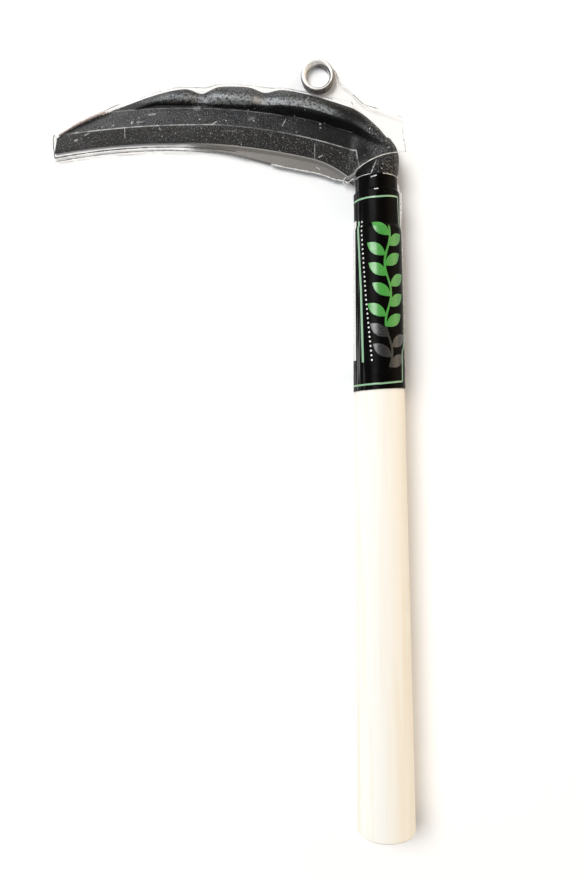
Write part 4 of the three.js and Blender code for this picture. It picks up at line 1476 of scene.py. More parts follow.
    def sleeve_fin(self) -> None:
        """Makes the thin fin that the clear sleeve's weld leaves down the film's side, white with a painted
        glint.
        """
        shares = np.linspace(0.0, 1.0, self.fin_steps)
        path = self.flat([(self.fin_turn, y) for y in lerp(*self.fin_ends, shares)])
        heights = curve_through(self.fin_shares, self.fin_heights)(shares)
        sides = []
        for side in (1.0, -1.0):
            shifted = path + np.array([side * self.fin_width / 2, 0.0, 0.0])
            lifts = (np.zeros(len(shares)), heights)
            sides.append(np.stack([self.wrapped(shifted, lift) for lift in lifts], axis=1))
        piece = plate("film_fin", *sides)
        facing_out(piece)
        wear(piece, self.fin.make())
        settle(piece, Body.TOOL, Slot.BLACK_FILM)

    def flat(self, places: Sequence) -> np.ndarray:
        """Turns pairs of degrees and height into flat places in metres, z being 0."""
        round_radius = float(self.radius(self.joint.handle_length))
        return np.array([(math.radians(turn) * round_radius, y, 0.0) for turn, y in places])

    def roll_on(self, piece: Object) -> None:
        """Flattens a piece of print to the thickness of ink, wraps it round the film and settles it."""
        flat = places_of(piece)
        lift = self.ink_lift + flat[:, 2] / np.abs(flat[:, 2]).max() * self.ink
        piece.data.vertices.foreach_set("co", self.wrapped(flat, lift).ravel())
        piece.data.update()
        facing_out(piece)
        settle(piece, Body.TOOL, Slot.BLACK_FILM)

    def printed(
        self, name: str, runs: Sequence, ink: Material, width: float,
        unevenness: float = 0.0, closed: bool = False,
    ) -> None:
        """Prints lines along runs of degrees and heights.

        Args:
            name: the piece's name.
            runs: the lines, each a row of degrees and heights.
            ink: what they are printed in.
            width: how wide they are.
            unevenness: how much the width changes along a line, as a share.
            closed: whether each line ends where it starts.
        """
        paths = [self.flat(run) for run in runs]
        self.roll_on(bead(name, paths, ink, width / 2, self.line_step, unevenness, closed))

    def frame_run(self, level: float, skew_turns: tuple, turns: Sequence[float]) -> list:
        """Lays out one of the frame's two long runs, which rises by the skew between two turns."""
        first, last = skew_turns
        return [(turn, level + self.frame_skew * max(turn - first, 0.0) / (last - first)) for turn in turns]

    def lines(self) -> None:
        """Prints the frame that runs round the film, and the thick line beside the panel."""
        ink = self.border.make()
        back, top, low, bend = self.frame_back, self.frame_top, self.frame_low, self.line_width * 2
        loop = [
            (back + self.frame_corner, top),
            *self.frame_run(top, self.top_skew_turns, self.frame_turns),
            *self.jog_right,
            *self.frame_run(low, self.low_skew_turns, self.frame_turns[-2::-1]),
            (back + self.frame_corner, low), (back, low + bend), (back, top - bend),
        ]
        self.printed("printed_frame", [loop], ink, self.line_width, closed=True)
        self.printed("printed_line", [self.thick_line], ink, self.thick_line_width)

    def leaves(self, name: str, ink: Material, foot: float, count: int) -> Object:
        """Prints a swaying stem with leaves to either side of it.

        Args:
            name: the piece's name.
            ink: what it is printed with.
            foot: how far along the handle it starts.
            count: how many leaves it has.

        Returns:
            The flat print, not wrapped yet.
        """
        start = self.flat([(self.vine_turn, foot)])[0]
        g = Growth(
            name, ink, count=count, gap=self.leaf_gap, length=self.leaf_length, width=self.leaf_width,
            lean=self.leaf_lean, sway=self.stem_sway, pitch=self.sway_pitch, stem=self.stem_width,
            x=float(start[0]), foot=float(start[1]), ground=self.vine_foot,
        )

        def row(points: Value, gap: Value) -> NodeSocket:
            """Returns a row of points up the stem, which sways."""
            line = g.node(
                "GeometryNodeMeshLine", Count=points, Start_Location=g.vector(g.size("x"), g.size("foot")),
                Offset=g.vector(y=gap),
            )
            height = g.split(g.node("GeometryNodeInputPosition").outputs[0], "Y")
            turn = g.calculate("DIVIDE", g.minus(height, g.size("ground")), g.size("pitch"))
            wave = g.calculate("SINE", g.times(turn, math.tau))
            offset = g.vector(x=g.times(wave, g.size("sway")))
            return g.node("GeometryNodeSetPosition", Geometry=line.outputs[0], Offset=offset).outputs[0]

        ball = g.node("GeometryNodeMeshUVSphere", Segments=self.leaf_sides, Rings=self.leaf_rings, Radius=1.0)
        across, along, up = g.node(
            "ShaderNodeSeparateXYZ", Vector=g.node("GeometryNodeInputPosition").outputs[0]
        ).outputs
        pointed = g.calculate("SQRT", g.most(g.minus(1.0, g.times(along, along)), 0.0))
        shaped = g.vector(
            g.times(across, pointed, g.size("width"), 0.5),
            g.times(g.plus(along, 1.0), g.size("length"), 0.5),
            g.times(up, g.size("stem")),
        )
        leaf = g.node("GeometryNodeSetPosition", Geometry=ball.outputs["Mesh"], Position=shaped)
        index = g.node("GeometryNodeInputIndex").outputs[0]
        side = g.minus(g.times(g.calculate("MODULO", index, 2.0), 2.0), 1.0)
        scattered = g.node(
            "GeometryNodeInstanceOnPoints", Points=row(g.size("count"), g.size("gap")),
            Instance=leaf.outputs[0], Rotation=g.vector(z=g.times(side, g.size("lean"))),
        )
        spacing = g.calculate("DIVIDE", g.times(g.size("count"), g.size("gap")), self.stem_points - 1.0)
        path = g.node("GeometryNodeMeshToCurve", Mesh=row(self.stem_points, spacing)).outputs[0]
        stem = g.tube(path, BEAD_SIDES, g.times(g.size("stem"), 0.5))
        joined = g.node("GeometryNodeJoinGeometry")
        for grown in (scattered.outputs[0], stem):
            g.feed(joined.inputs[0], grown)
        return g.grow(joined.outputs[0], linked(name, bpy.data.meshes.new(name)))

    def dots(self, ink: Material) -> Object:
        """Prints a row of small dots beside the vine, not wrapped yet."""
        g = Growth("printed_dots", ink, gap=self.dot_gap, radius=self.dot_width / 2)
        ball = g.node(
            "GeometryNodeMeshUVSphere", Segments=self.dot_sides, Rings=self.dot_rings, Radius=g.size("radius")
        )
        scattered = g.node(
            "GeometryNodeInstanceOnPoints", Points=g.evened(g.size("gap")), Instance=ball.outputs["Mesh"]
        )
        return g.grow(scattered.outputs[0], thread("printed_dots", [self.flat(self.dot_row)]))

    def bare_panel(self, ink: Material) -> Object:
        """Prints the bare panel on the back of the film."""
        rows, columns = self.panel_steps
        turns = np.linspace(self.panel_from, self.panel_to, rows)
        heights = np.linspace(self.panel_low, self.panel_top, columns)
        flat = self.flat([(turn, y) for turn in turns for y in heights])
        over = self.wrapped(flat, self.ink_lift + self.ink).reshape(rows, columns, 3)
        under = self.wrapped(flat, self.ink_lift).reshape(rows, columns, 3)
        piece = plate("printed_panel", over, under)
        wear(piece, ink)
        return piece

    def build(self) -> None:
        """Makes the film and its print."""
        piece = self.sleeve()
        wear(piece, self.finish.make())
        settle(piece, Body.TOOL, Slot.BLACK_FILM, "label_film")
        self.lines()
        green_foot = self.vine_foot + self.dark_leaves * self.leaf_gap
        self.roll_on(self.leaves("printed_vine", self.leaf.make(), green_foot, self.green_leaves))
        self.roll_on(self.leaves("printed_root", self.dark_leaf.make(), self.vine_foot, self.dark_leaves))
        self.sleeve_fin()
        # Painted glints, and a painted highlight along the sleeve's top edge.
        shine = self.fin.make()
        self.printed("sleeve_glints", self.glints, shine, self.glint_width, self.glint_unevenness)
        edge = self.top - self.edge_inset
        runs = [[(turn, edge) for turn in span] for span in self.edge_spans]
        self.printed("sleeve_edge", runs, shine, self.edge_width, self.edge_unevenness)
        white = self.panel.make()
        self.roll_on(self.dots(white))
        settle(self.bare_panel(white), Body.TOOL, Slot.BLACK_FILM)


@dataclass(frozen=True)
class SheetLine:
    """Half the width of a line on the sheet, pressed in or a painted highlight, and how much it changes, as a
    share.
    """

    radius: float
    unevenness: float


@dataclass
class Guard:
    """Two clear sheets, welded round their rim, the front one draped over the steel."""

    blade: Blade
    thickness: float = 0.0005
    drape_gap: float = 0.0007
    edge_stand_off: float = 0.0024
    edge_weld: float = 0.0025
    back_stand_off: float = 0.0019
    back_weld: float = 0.001
    tip_stand_off: float = 0.0012
    heel_rim: float = 0.0028
    rim_shares: tuple = ((0, 0.55, 0.76, 0.92, 1), (1, 1, 1.7, 1.5, 1))
    rim_steps: int = 5
    side_room: float = 0.0046
    mouth_turn: float = 19.5
    mouth_rise: float = 28.0
    eyelet_hole_radius: float = 0.0066
    eyelet_setback: float = 0.0185
    eyelet_stand_off: float = 0.0116
    tab_radius: float = 0.0116
    tab_flare_tip: float = 0.007
    tab_flare_heel: float = 0.016
    lines: int = 250
    tab_lines: int = 110
    turn_lines: int = 90
    across_steps: int = 90
    radius_cells: int = 340
    angle_cells: int = 420
    back_places: int = 60
    flat_steps: int = 10
    hole_sides: int = 96
    sharp_degrees: float = 40.0
    spread_cells: int = 3
    bead_inset_share: float = 0.3
    bead_step: float = 0.0006
    # The weld, rim, tip and back lines are lines in the sheet; the mouth, heel and glint lines are painted
    # highlights.
    weld_bead: SheetLine = SheetLine(0.00032, 0.7)
    rim_bead: SheetLine = SheetLine(0.00024, 0.8)
    mouth_bead: SheetLine = SheetLine(0.00024, 0.6)
    heel_bead: SheetLine = SheetLine(0.0004, 0.9)
    tip_bead: SheetLine = SheetLine(0.00022, 0.9)
    back_bead: SheetLine = SheetLine(0.00016, 0.8)
    back_span: tuple = (-0.128, -0.022)
    back_gap: float = 0.0004
    back_steps: int = 120
    lip_from: float = 0.045
    weld_until: float = 0.064
    # Where the painted grey near the heel starts and is full, and how far in from the rim it stops.
    fold_grey_start: float = 0.100
    fold_grey_full: float = 0.060
    fold_grey_inset: float = 0.0008
    fold_lift: float = 0.0007
    fold_inside: float = 0.0016
    fold_wall: float = 0.00015
    # The fold behind the tip, painted with its reflections.
    fold_places: tuple = (-0.1725, -0.1691, -0.1607, -0.1513, -0.1465)
    fold_reaches: tuple = (0.0001, 0.0006, 0.0020, 0.0023, 0.0021)
    # The dark sliver at the fold's end, a painted dark reflection.
    sliver: tuple = ((-0.1497, 0.3911), (-0.1441, 0.3946), (-0.1391, 0.3969))
    fold_rows: int = 70
    fold_columns: int = 11
    fold_arch: tuple = (0.2, 3.0)
    sliver_width: float = 0.0008
    sliver_side: tuple = (-0.5, 0.85)
    sliver_taper_shares: tuple = (0.05, 0.98)
    smooth_steps: int = 12
    # Lines of painted highlight on the sheet: one by the tip, two near the heel.
    glints: tuple = (
        ((-0.1485, 0.3901), (-0.1462, 0.3912), (-0.1449, 0.3922)),
        ((-0.0155, 0.3543), (-0.0168, 0.3528), (-0.0165, 0.3512), (-0.0148, 0.3500)),
        ((-0.0318, 0.3603), (-0.0306, 0.3597), (-0.0296, 0.3589)),
    )
    glint_bead: SheetLine = SheetLine(0.0003, 0.8)
    finish: ClearFilm = field(default_factory=ClearFilm)
    weld: WeldedRim = WeldedRim("weld_line", (0.135, 0.12, 0.108), 0.9)
    rim: WeldedRim = WeldedRim("rim_line", (0.36, 0.35, 0.34), 0.62, broken=1.0)
    # White lines of painted highlight: along the mouth, the rim by the heel, and the glints.
    lip: WeldedRim = WeldedRim("lip_line", (0.93, 0.93, 0.92), 0.95)
    back_line: WeldedRim = WeldedRim("back_line", (0.42, 0.42, 0.41), 0.7, broken=0.6)
    fold: FoldedFilm = FoldedFilm()

    def __post_init__(self) -> None:
        """Works out the places that follow from the sizes."""
        self.heel = self.blade.heel
        self.centre = self.blade.centre
        self.rim_share = curve_through(*self.rim_shares)
        self.back_limit = self.back_radius(self.heel.x)
        self.eyelet_x = self.heel.x - self.eyelet_setback
        self.eyelet_y = self.blade.arc_y(self.eyelet_x, self.back_limit + self.eyelet_stand_off)

    def back_radius(self, x: float) -> float:
        """The back line that the guard keeps, which never comes nearer to the centre."""
        places = np.linspace(self.blade.tip_x, min(x, self.heel.x), self.back_places)
        ways = [math.hypot(p - self.centre.x, self.blade.full_back_y(p) - self.centre.y) for p in places]
        return max(self.blade.edge_radius, *ways)

    def tab_reach(self, x: float) -> float:
        """How far the hanging tab stands out of the back rim at x."""
        away = x - self.eyelet_x
        flare = self.tab_flare_tip if away < 0 else self.tab_flare_heel
        beyond = abs(away) - self.tab_radius
        stand = self.eyelet_stand_off - self.back_stand_off - self.back_weld
        if beyond > 0:
            return stand * float(1.0 - smoothstep(beyond / flare, 0.0, 1.0))
        return stand + math.sqrt(self.tab_radius ** 2 - away * away)

    def ray_to(self, ray: tuple, radius: float) -> float:
        """How far a ray from the heel runs before it meets a circle about the centre."""
        start = (self.heel.x - self.centre.x, self.heel.y - self.centre.y)
        along = start[0] * ray[0] + start[1] * ray[1]
        return -along + math.sqrt(along * along - start[0] ** 2 - start[1] ** 2 + radius * radius)

    def cross_lines(self, steps: int) -> np.ndarray:
        """Places in plan along every cross line, from the rim along the edge to the back rim.

        Args:
            steps: even steps between the two welds.

        Returns:
            An array of lines by places by 2.
        """
        made = []
        b = self.blade
        tab_start = self.eyelet_x - self.tab_radius - self.tab_flare_tip
        straight = np.concatenate([
            np.linspace(b.tip_x - self.tip_stand_off, tab_start, self.lines, endpoint=False),
            np.linspace(tab_start, self.heel.x, self.tab_lines),
        ])
        for x in straight:
            held = max(x, b.tip_x)
            rim = self.rim_width(x)
            low = b.edge_y(x) - rim
            back = self.back_radius(held) + self.back_stand_off
            high = b.arc_y(x, back + self.back_weld) + self.tab_reach(x)
            made.append(self.places((x, low), (x, high), rim / 2, b.arc_y(x, back) - low, steps, 0.0))
        side = b.joint.socket_radius + self.side_room
        for share in np.linspace(0.0, 1.0, self.turn_lines + 1)[1:]:
            angle = math.radians(lerp(90.0, self.mouth_turn, share))
            ray = (math.cos(angle), math.sin(angle))
            to_side = (side - self.heel.x) / max(ray[0], 0.001)
            to_back = self.ray_to(ray, self.back_limit + self.back_stand_off)
            to_rim = self.ray_to(ray, self.back_limit + self.back_stand_off + self.back_weld)
            reach = min(to_side, to_rim + self.tab_reach(self.heel.x + ray[0] * to_rim))
            rim = self.heel_rim * (1.0 - share)
            start = (
                self.heel.x + b.joint.heel_gap / 2 * share,
                self.heel.y - rim - b.joint.fit_gap * share,
            )
            end = (self.heel.x + ray[0] * reach, self.heel.y + ray[1] * reach)
            shoulder = min(to_side - self.back_weld, to_back)
            bow = math.radians(self.mouth_rise - self.mouth_turn) * share
            made.append(self.places(start, end, max(rim / 2, b.joint.fit_gap), shoulder, steps, bow))
        return np.array(made)

    def rim_width(self, x: float) -> float:
        """How far the guard reaches beyond the cutting edge at x."""
        share = float(self.rim_share(min(max(self.blade.share_along(x), 0.0), 1.0)))
        near_heel = float(smoothstep(x, self.heel.x - self.blade.heel_run / 2, self.heel.x))
        return lerp((self.edge_stand_off + self.edge_weld) * share, self.heel_rim, near_heel)

    def places(
        self, start: tuple, end: tuple, weld: float, shoulder: float, steps: int, bow: float
    ) -> np.ndarray:
        """Places along one cross line: the weld, even steps over the steel, and the back weld.

        Args:
            start: the end on the rim along the edge.
            end: the end on the back rim.
            weld: how wide the weld at the start is.
            shoulder: where the back weld begins.
            steps: even steps between the welds.
            bow: how far the line swings up about the heel at its start.

        Returns:
            An array of places by 2.
        """
        run = np.subtract(end, start)
        length = float(np.hypot(*run))
        beyond = np.linspace(shoulder, length, self.rim_steps)[1:]
        along = np.concatenate([[0.0, weld / 2], np.linspace(weld, shoulder, steps), beyond])
        flat = np.asarray(start) + np.outer(along / length, run)
        swing = bow * (1.0 - (along / length) ** 2)
        away = flat - np.array([self.heel.x, self.heel.y])
        turned_x = away[:, 0] * np.cos(swing) - away[:, 1] * np.sin(swing)
        turned_y = away[:, 0] * np.sin(swing) + away[:, 1] * np.cos(swing)
        return np.stack([self.heel.x + turned_x, self.heel.y + turned_y], axis=1)

    def steel_heights(self, steel: Object) -> Callable:
        """The steel's height swept from the tip to the heel about the centre, spread and smoothed.

        Args:
            steel: the finished blade.

        Returns:
            A function that reads the swept height, and how much steel there is, at places in plan.
        """
        b = self.blade
        tree = BVHTree.FromObject(steel, bpy.context.evaluated_depsgraph_get())
        inner = b.edge_radius - b.root_width
        outer = b.edge_radius + 2.0 * b.root_width
        start = Vector((b.tip_x - 2 * self.tip_stand_off, b.edge_y(b.tip_x))) - self.centre
        end = Vector((b.joint.socket_radius + self.side_room, self.heel.y - b.root_width)) - self.centre
        first, last = math.atan2(start.y, start.x), math.atan2(end.y, end.x)
        angles = np.linspace(first, last, self.angle_cells)
        radii = np.linspace(inner, outer, self.radius_cells)
        table = np.full((self.angle_cells, self.radius_cells), b.bottom)
        down = Vector((0.0, 0.0, -1.0))
        for k, angle in enumerate(angles):
            for j, radius in enumerate(radii):
                x = self.centre.x + radius * math.cos(angle)
                y = self.centre.y + radius * math.sin(angle)
                if y < self.heel.y - b.joint.film_setback:
                    continue
                hit = tree.ray_cast(Vector((x, y, b.root_width)), down)[0]
                if hit is not None:
                    table[k, j] = max(b.bottom, hit.z)
        table = np.maximum.accumulate(table, axis=0)
        covered = (table > b.bottom + MILLIMETRE / 10).astype(float)
        table = self.spread(table)
        covered = self.spread(covered)

        def read(places: np.ndarray) -> tuple:
            """Reads both tables."""
            away = places - np.array([self.centre.x, self.centre.y])
            j = (np.hypot(away[..., 0], away[..., 1]) - inner) / (outer - inner) * (self.radius_cells - 1)
            turn = np.arctan2(away[..., 1], away[..., 0])
            k = (turn - first) / (last - first) * (self.angle_cells - 1)
            return self.sample(table, k, j), self.sample(covered, k, j)

        return read

    def spread(self, table: np.ndarray) -> np.ndarray:
        """Grows the high places of a table and then smooths them by as much."""
        wide, reach = table, self.spread_cells
        for gather in (np.max, np.mean):
            for axis in (0, 1):
                margin = [(reach, reach) if side == axis else (0, 0) for side in (0, 1)]
                padded = np.pad(wide, margin, mode="edge")
                shifts = [np.take(padded, range(s, s + wide.shape[axis]), axis) for s in range(2 * reach + 1)]
                wide = gather(shifts, axis=0)
        return wide

    def sample(self, table: np.ndarray, k: np.ndarray, j: np.ndarray) -> np.ndarray:
        """Reads a table between its cells."""
        k = np.clip(k, 0, table.shape[0] - 1.001)
        j = np.clip(j, 0, table.shape[1] - 1.001)
        k0, j0 = k.astype(int), j.astype(int)
        down, across = k - k0, j - j0
        low = table[k0, j0] * (1 - across) + table[k0, j0 + 1] * across
        high = table[k0 + 1, j0] * (1 - across) + table[k0 + 1, j0 + 1] * across
        return low * (1 - down) + high * down

    def punched(self, piece: Object) -> Object:
        """Cuts the eyelet's hole out of a sheet."""
        radius = self.eyelet_hole_radius + self.thickness + self.blade.joint.fit_gap
        depth = self.blade.joint.socket_radius
        centre = Vector((self.eyelet_x, self.eyelet_y, self.blade.bottom))
        profile = [(0.0, -depth), (radius, -depth), (radius, depth), (0.0, depth)]
        cutter = ring("punch", profile, self.hole_sides, Axis.UPRIGHT, centre)
        cut = piece.modifiers.new("punch", "BOOLEAN")
        cut.operation = "DIFFERENCE"
        cut.solver = "MANIFOLD"
        cut.object = cutter
        baked(piece)
        bpy.data.objects.remove(cutter)
        return piece

    def build(self, steel: Object) -> None:
        """Makes both sheets and lets them replace their nodes."""
        b = self.blade
        clear = self.finish.make()
        steel_at = self.steel_heights(steel)
        plan = self.cross_lines(self.across_steps)
        under = self.on_sheet(plan, steel_at, -self.thickness)
        along = np.gradient(under, axis=0)
        across = np.gradient(under, axis=1)
        normal = np.cross(along, across)
        normal /= np.linalg.norm(normal, axis=2)[..., None]
        normal *= np.where(normal[..., 2:] < 0.0, -1.0, 1.0)
        over = under + normal * self.thickness
        front = plate("clear_front_sheet", over, under)
        flat_plan = self.cross_lines(self.flat_steps)
        floor = np.full(flat_plan.shape[:2] + (1,), b.bottom - b.joint.fit_gap - self.thickness)
        base = np.concatenate([flat_plan, floor], axis=2)
        back = plate("clear_back_sheet", base + np.array([0.0, 0.0, self.thickness]), base)
        self.folds(steel_at)
        for piece, node in ((front, "guard_front_sheet"), (back, "guard_back_sheet")):
            self.punched(piece)
            shade(piece.data, self.sharp_degrees)
            self.painted_fold_grey(piece)
            wear(piece, clear)
            settle(piece, Body.GUARD, Slot.CLEAR_FILM, node)
        self.beads(over)

    def painted_fold_grey(self, piece: Object) -> None:
        """Marks how much painted grey the sheet gets near the heel, and how far it is from the edge and its
        own rim.
        """
        places = places_of(piece)
        held = np.clip(places[:, 0], self.blade.tip_x, self.heel.x)
        edge = np.array([self.blade.edge_y(x) for x in held])
        rim = np.array([self.rim_width(x) for x in held]) - self.fold_grey_inset
        beyond = edge - places[:, 1]
        near = 1.0 - smoothstep(self.heel.x - places[:, 0], self.fold_grey_full, self.fold_grey_start)
        give_attribute(piece, "painted_fold_grey", near * (places[:, 0] < self.heel.x + self.thickness))
        give_attribute(piece, "beyond", beyond / MILLIMETRE)
        give_attribute(piece, "from_rim", (rim - beyond) / MILLIMETRE)

    def beads(self, over: np.ndarray) -> None:
        """Lays the pressed lines along the weld, the rims, the tab and the tip, and lines of painted
        highlight along the rim by the heel and along the mouth.

        Args:
            over: the upper face of the front sheet, lines by places by 3.
        """
        tip = int(np.searchsorted(over[: self.lines, 2, 0], self.blade.tip_x))
        straight = self.lines + self.tab_lines
        weld_line = over[:straight, 2]
        outer = lerp(over[:straight, 0], over[:straight, 1], self.bead_inset_share)
        heel_from, weld_to = np.searchsorted(
            over[:straight, 2, 0], (self.heel.x - self.lip_from, self.heel.x - self.weld_until)
        )
        tab_rim = lerp(over[self.lines:, -1], over[self.lines:, -2], self.bead_inset_share)
        tab = tab_rim[int(np.searchsorted(tab_rim[: self.tab_lines, 0], self.eyelet_x)):]
        shoulder = self.across_steps + 1
        weld, rim, lip = self.weld.make(), self.rim.make(), self.lip.make()
        self.lay("weld_bead", [weld_line[tip:weld_to]], weld, self.weld_bead)
        self.lay("rim_bead", [outer[tip:heel_from]], rim, self.rim_bead)
        self.lay("tab_bead", [tab], rim, self.rim_bead)
        # Painted highlight along the rim by the heel and along the mouth.
        self.lay("heel_bead", [outer[heel_from:]], lip, self.heel_bead)
        self.lay("mouth_bead", [over[-1]], lip, self.mouth_bead)
        self.lay("tip_bead", [over[tip, 2:shoulder]], weld, self.tip_bead)

    def lay(self, name: str, paths: Sequence, material: Material, line: SheetLine) -> None:
        """Lays lines that ride with the guard along paths: pressed lines, and lines of painted highlight."""
        piece = bead(name, paths, material, line.radius, self.bead_step, line.unevenness)
        settle(piece, Body.GUARD, Slot.CLEAR_FILM)

    def on_sheet(self, places: np.ndarray, steel_at: Callable, lift: float) -> np.ndarray:
        """Lays places in plan on the front sheet, a lift above it."""
        heights, covered = steel_at(places)
        level = np.where(covered > 0.0, heights + self.drape_gap * covered, self.blade.bottom)
        return np.concatenate([places, (level + self.thickness + lift)[..., None]], axis=-1)

    def folds(self, steel_at: Callable) -> None:
        """Makes the fold that the front sheet has behind the tip, painted with its reflections, its dark end,
        a painted dark reflection, lines of painted highlight, and the line along the back.

        Args:
            steel_at: reads the steel's height in plan.
        """
        b = self.blade
        rows = self.fold_rows
        xs = np.linspace(self.fold_places[0], self.fold_places[-1], rows)
        reach = curve_through(self.fold_places, self.fold_reaches)(xs)
        share = np.linspace(0.0, 1.0, self.fold_columns)
        back = np.array([b.full_back_y(x) for x in xs]) - self.fold_inside
        plan = np.stack(np.broadcast_arrays(
            xs[:, None], back[:, None] + (reach[:, None] + self.fold_inside) * share
        ), axis=-1)
        arch = np.sin(share * math.pi) * self.fold_lift * np.sin(np.linspace(*self.fold_arch, rows))[:, None]
        fold = self.thin_sheet("folded_film", plan, steel_at, arch)
        give_attribute(fold, "across", np.tile(share, 2 * rows))
        wear(fold, self.fold.make())
        # The dark sliver is a painted dark reflection, in the weld's colour.
        path = self.smoothed(self.sliver)
        span = np.sin(np.linspace(*self.sliver_taper_shares, len(path)) * math.pi) * self.sliver_width / 2
        sides = span[:, None, None] * np.array([-1.0, 0.0, 1.0])[:, None] * np.array(self.sliver_side)
        dark = self.thin_sheet("painted_fold_reflection", path[:, None] + sides, steel_at, 0.0)
        wear(dark, self.weld.make())
        for piece in (fold, dark):
            settle(piece, Body.GUARD, Slot.CLEAR_FILM)
        runs = [self.on_sheet(self.smoothed(run), steel_at, self.fold_wall) for run in self.glints]
        self.lay("film_glints", runs, self.lip.make(), self.glint_bead)
        xs = np.linspace(*self.back_span, self.back_steps)
        plan = np.stack([xs, [b.full_back_y(x) + self.back_gap for x in xs]], axis=-1)
        run = self.on_sheet(plan, steel_at, 0.0)
        self.lay("back_bead", [run], self.back_line.make(), self.back_bead)

    def thin_sheet(self, name: str, plan: np.ndarray, steel_at: Callable, arch: float | np.ndarray) -> Object:
        """Makes a thin layer over places in plan on the front sheet, arched up by a height."""
        low = self.on_sheet(plan, steel_at, self.fold_wall)
        low[..., 2] += arch
        return plate(name, low + np.array([0.0, 0.0, self.fold_wall]), low)

    def smoothed(self, places: Sequence) -> np.ndarray:
        """Returns a smooth run of places in plan through a few."""
        points = np.array(places)
        steps = np.linspace(0.0, len(points) - 1.0, self.smooth_steps * len(points))
        return np.stack([curve_through(range(len(points)), points[:, k])(steps) for k in (0, 1)], axis=-1)


@dataclass
class Hanger:
    """The rolled eyelet in the guard's tab, and the washer on its back."""

    guard: Guard
    radius: float = 0.00935
    hole_radius: float = 0.0063
    wall: float = 0.0005
    crown: float = 0.0022
    lip: float = 0.0003
    lip_width: float = 0.0009
    washer_thickness: float = 0.0005
    washer_radius: float = 0.009
    sides: int = 128
    dome_steps: int = 22
    finish: Nickel = field(default_factory=Nickel)

    def build(self) -> None:
        """Makes the eyelet and the washer."""
        g = self.guard
        gap = g.blade.joint.fit_gap
        weld = g.blade.bottom
        seat = weld + g.thickness + gap
        washer_top = weld - gap - g.thickness - gap
        lip_top = washer_top - self.washer_thickness - gap
        barrel = self.hole_radius + self.wall
        half = (self.radius - self.hole_radius) / 2
        middle = self.hole_radius + half

        def dome(inset: float) -> list:
            """Returns the eyelet's arched top, a wall or nothing further in."""
            angles = np.linspace(0.0, math.pi, self.dome_steps + 1)
            return [
                (middle - (half - inset) * math.cos(a), seat + (self.crown - inset) * math.sin(a))
                for a in angles
            ]

        profile = [
            (self.hole_radius, lip_top - self.lip),
            *dome(0.0),
            *reversed(dome(self.wall)),
            (barrel, lip_top),
            (barrel + self.lip_width, lip_top),
            (barrel + self.lip_width, lip_top - self.lip),
        ]
        centre = Vector((g.eyelet_x, g.eyelet_y, 0.0))
        metal = self.finish.make(centre, self.radius, self.hole_radius)
        eyelet = ring("rolled_eyelet", profile, self.sides, Axis.UPRIGHT, centre)
        wear(eyelet, metal)
        settle(eyelet, Body.GUARD, Slot.NICKEL, "eyelet")
        inside, outside = barrel + gap, self.washer_radius
        bottom = washer_top - self.washer_thickness
        flat = [(inside, bottom), (outside, bottom), (outside, washer_top), (inside, washer_top)]
        washer = ring("flat_washer", flat, self.sides, Axis.UPRIGHT, centre)
        wear(washer, metal)
        settle(washer, Body.GUARD, Slot.NICKEL, "eyelet_washer")


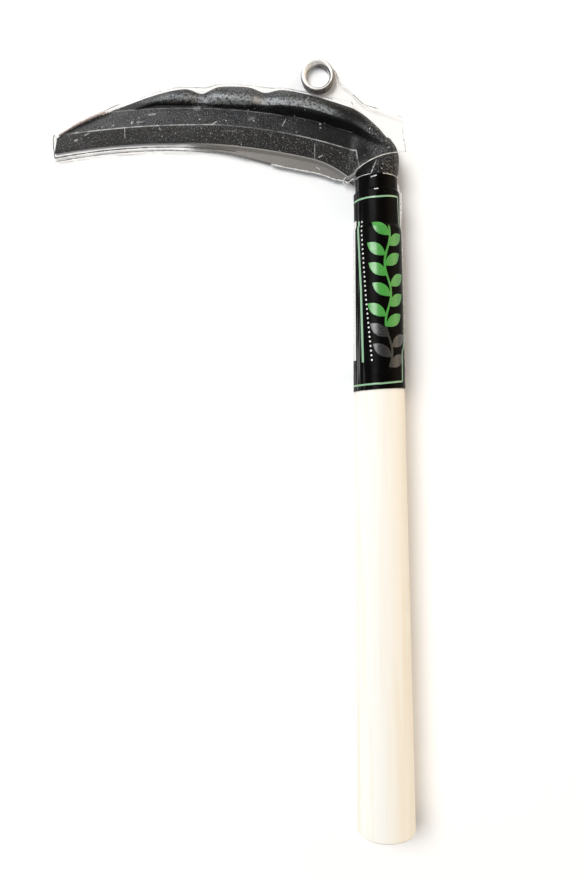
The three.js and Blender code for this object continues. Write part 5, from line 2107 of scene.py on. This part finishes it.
@dataclass
class Studio:
    """A pale floor, soft lamps and the photograph's viewpoint."""

    camera_place: tuple = (-0.04707, 0.21066, 0.39775)
    camera_roll: float = -0.895
    camera_angle: float = 61.4
    floor_size: float = 30.0
    floor_contacts: tuple = ((0.0, 0.0015, -0.0157), (-0.0301, 0.411, -0.0129), (-0.177, 0.368, -0.0115))
    floor_gap: float = 0.0002
    key_aim: tuple = (-0.06, 0.22, 0.0)
    key_turn: float = 140.0
    key_height: float = 58.0
    key_distance: float = 6.0
    key_size: float = 3.4
    key_power: float = 320.0
    sky_low: float = 0.9
    sky_high: float = 0.06
    sky_near_share: float = 0.3
    sky_right_gain: float = 3.0
    overhead: tuple = (0.1, 0.95)
    butt_side: tuple = (-0.6, 0.3)
    gain_side: tuple = (0.2, 0.9)
    warm_side: tuple = (-0.2, 0.7)
    warm: tuple = (1.0, 0.80, 0.57)
    cool: tuple = (0.97, 0.985, 1.0)

    def camera(self) -> None:
        """Places the camera straight above, a little rolled."""
        data = bpy.data.cameras.new("viewpoint")
        data.sensor_fit = "VERTICAL"
        data.angle_y = math.radians(self.camera_angle)
        data.clip_start = 0.01
        made = linked("viewpoint", data)
        made.location = self.camera_place
        made.rotation_euler = (0.0, 0.0, math.radians(self.camera_roll))
        bpy.context.scene.camera = made

    def floor(self) -> None:
        """Lays the floor through the three places on which the sickle rests."""
        first, second, third = (Vector(place) for place in self.floor_contacts)
        normal = (second - first).cross(third - first).normalized()
        normal = normal if normal.z > 0 else -normal
        half = self.floor_size / 2
        corners = [(-half, -half), (half, -half), (half, half), (-half, half)]
        points = []
        for x, y in corners:
            fall = (normal.x * (x - first.x) + normal.y * (y - first.y)) / normal.z
            points.append((x, y, first.z - self.floor_gap - fall))
        piece = object_from("pale_floor", np.array(points), [(0, 1, 2, 3)])
        wear(piece, PaleSheet().make())

    def lamps(self) -> None:
        """Hangs one large soft lamp up and to the left, far enough to light the floor evenly."""
        data = bpy.data.lights.new("key", "AREA")
        data.shape = "DISK"
        data.size = self.key_size
        data.energy = self.key_power
        lamp = linked("key", data)
        turn, height = math.radians(self.key_turn), math.radians(self.key_height)
        towards = Vector(
            (math.cos(turn) * math.cos(height), math.sin(turn) * math.cos(height), math.sin(height))
        )
        lamp.location = Vector(self.key_aim) + towards * self.key_distance
        lamp.rotation_euler = towards.to_track_quat("Z", "Y").to_euler()

    def sky_light(self) -> None:
        """Surrounds the scene with soft light: pale low down, dim overhead and by the handle's butt."""
        world = bpy.data.worlds.new("studio")
        world.use_nodes = True
        sky = Nodes(world.node_tree)
        sky.tree.nodes.clear()
        x, y, z = sky.node(
            "ShaderNodeSeparateXYZ", Vector=sky.node("ShaderNodeTexCoord").outputs["Generated"]
        ).outputs
        strength = sky.times(
            sky.ramp(z, *self.overhead, self.sky_low, self.sky_high),
            sky.ramp(y, *self.butt_side, self.sky_near_share, 1.0),
            sky.ramp(x, *self.gain_side, 1.0, self.sky_right_gain),
        )
        tint = sky.blend(sky.ramp(x, *self.warm_side), self.cool, self.warm)
        soft = sky.node("ShaderNodeBackground", Color=tint, Strength=strength)
        plain = sky.node("ShaderNodeBackground", Color=WHITE)
        seen = sky.node("ShaderNodeLightPath").outputs["Is Camera Ray"]
        mixed = sky.mixed(seen, soft.outputs[0], plain.outputs[0])
        sky.node("ShaderNodeOutputWorld", Surface=mixed)
        bpy.context.scene.world = world

    def build(self) -> None:
        """Sets the studio up."""
        bpy.context.scene.view_settings.view_transform = "Standard"
        self.camera()
        self.floor()
        self.lamps()
        self.sky_light()


def main() -> None:
    """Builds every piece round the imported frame."""
    logging.basicConfig(level=logging.INFO, format="%(name)s: %(message)s")
    Studio().build()
    joint = JointSizes()
    blade = Blade(joint)
    steel = blade.build()
    Grip(joint).build()
    Label(joint).build()
    guard = Guard(blade)
    guard.build(steel)
    Hanger(guard).build()


if __name__ == "__main__":
    main()
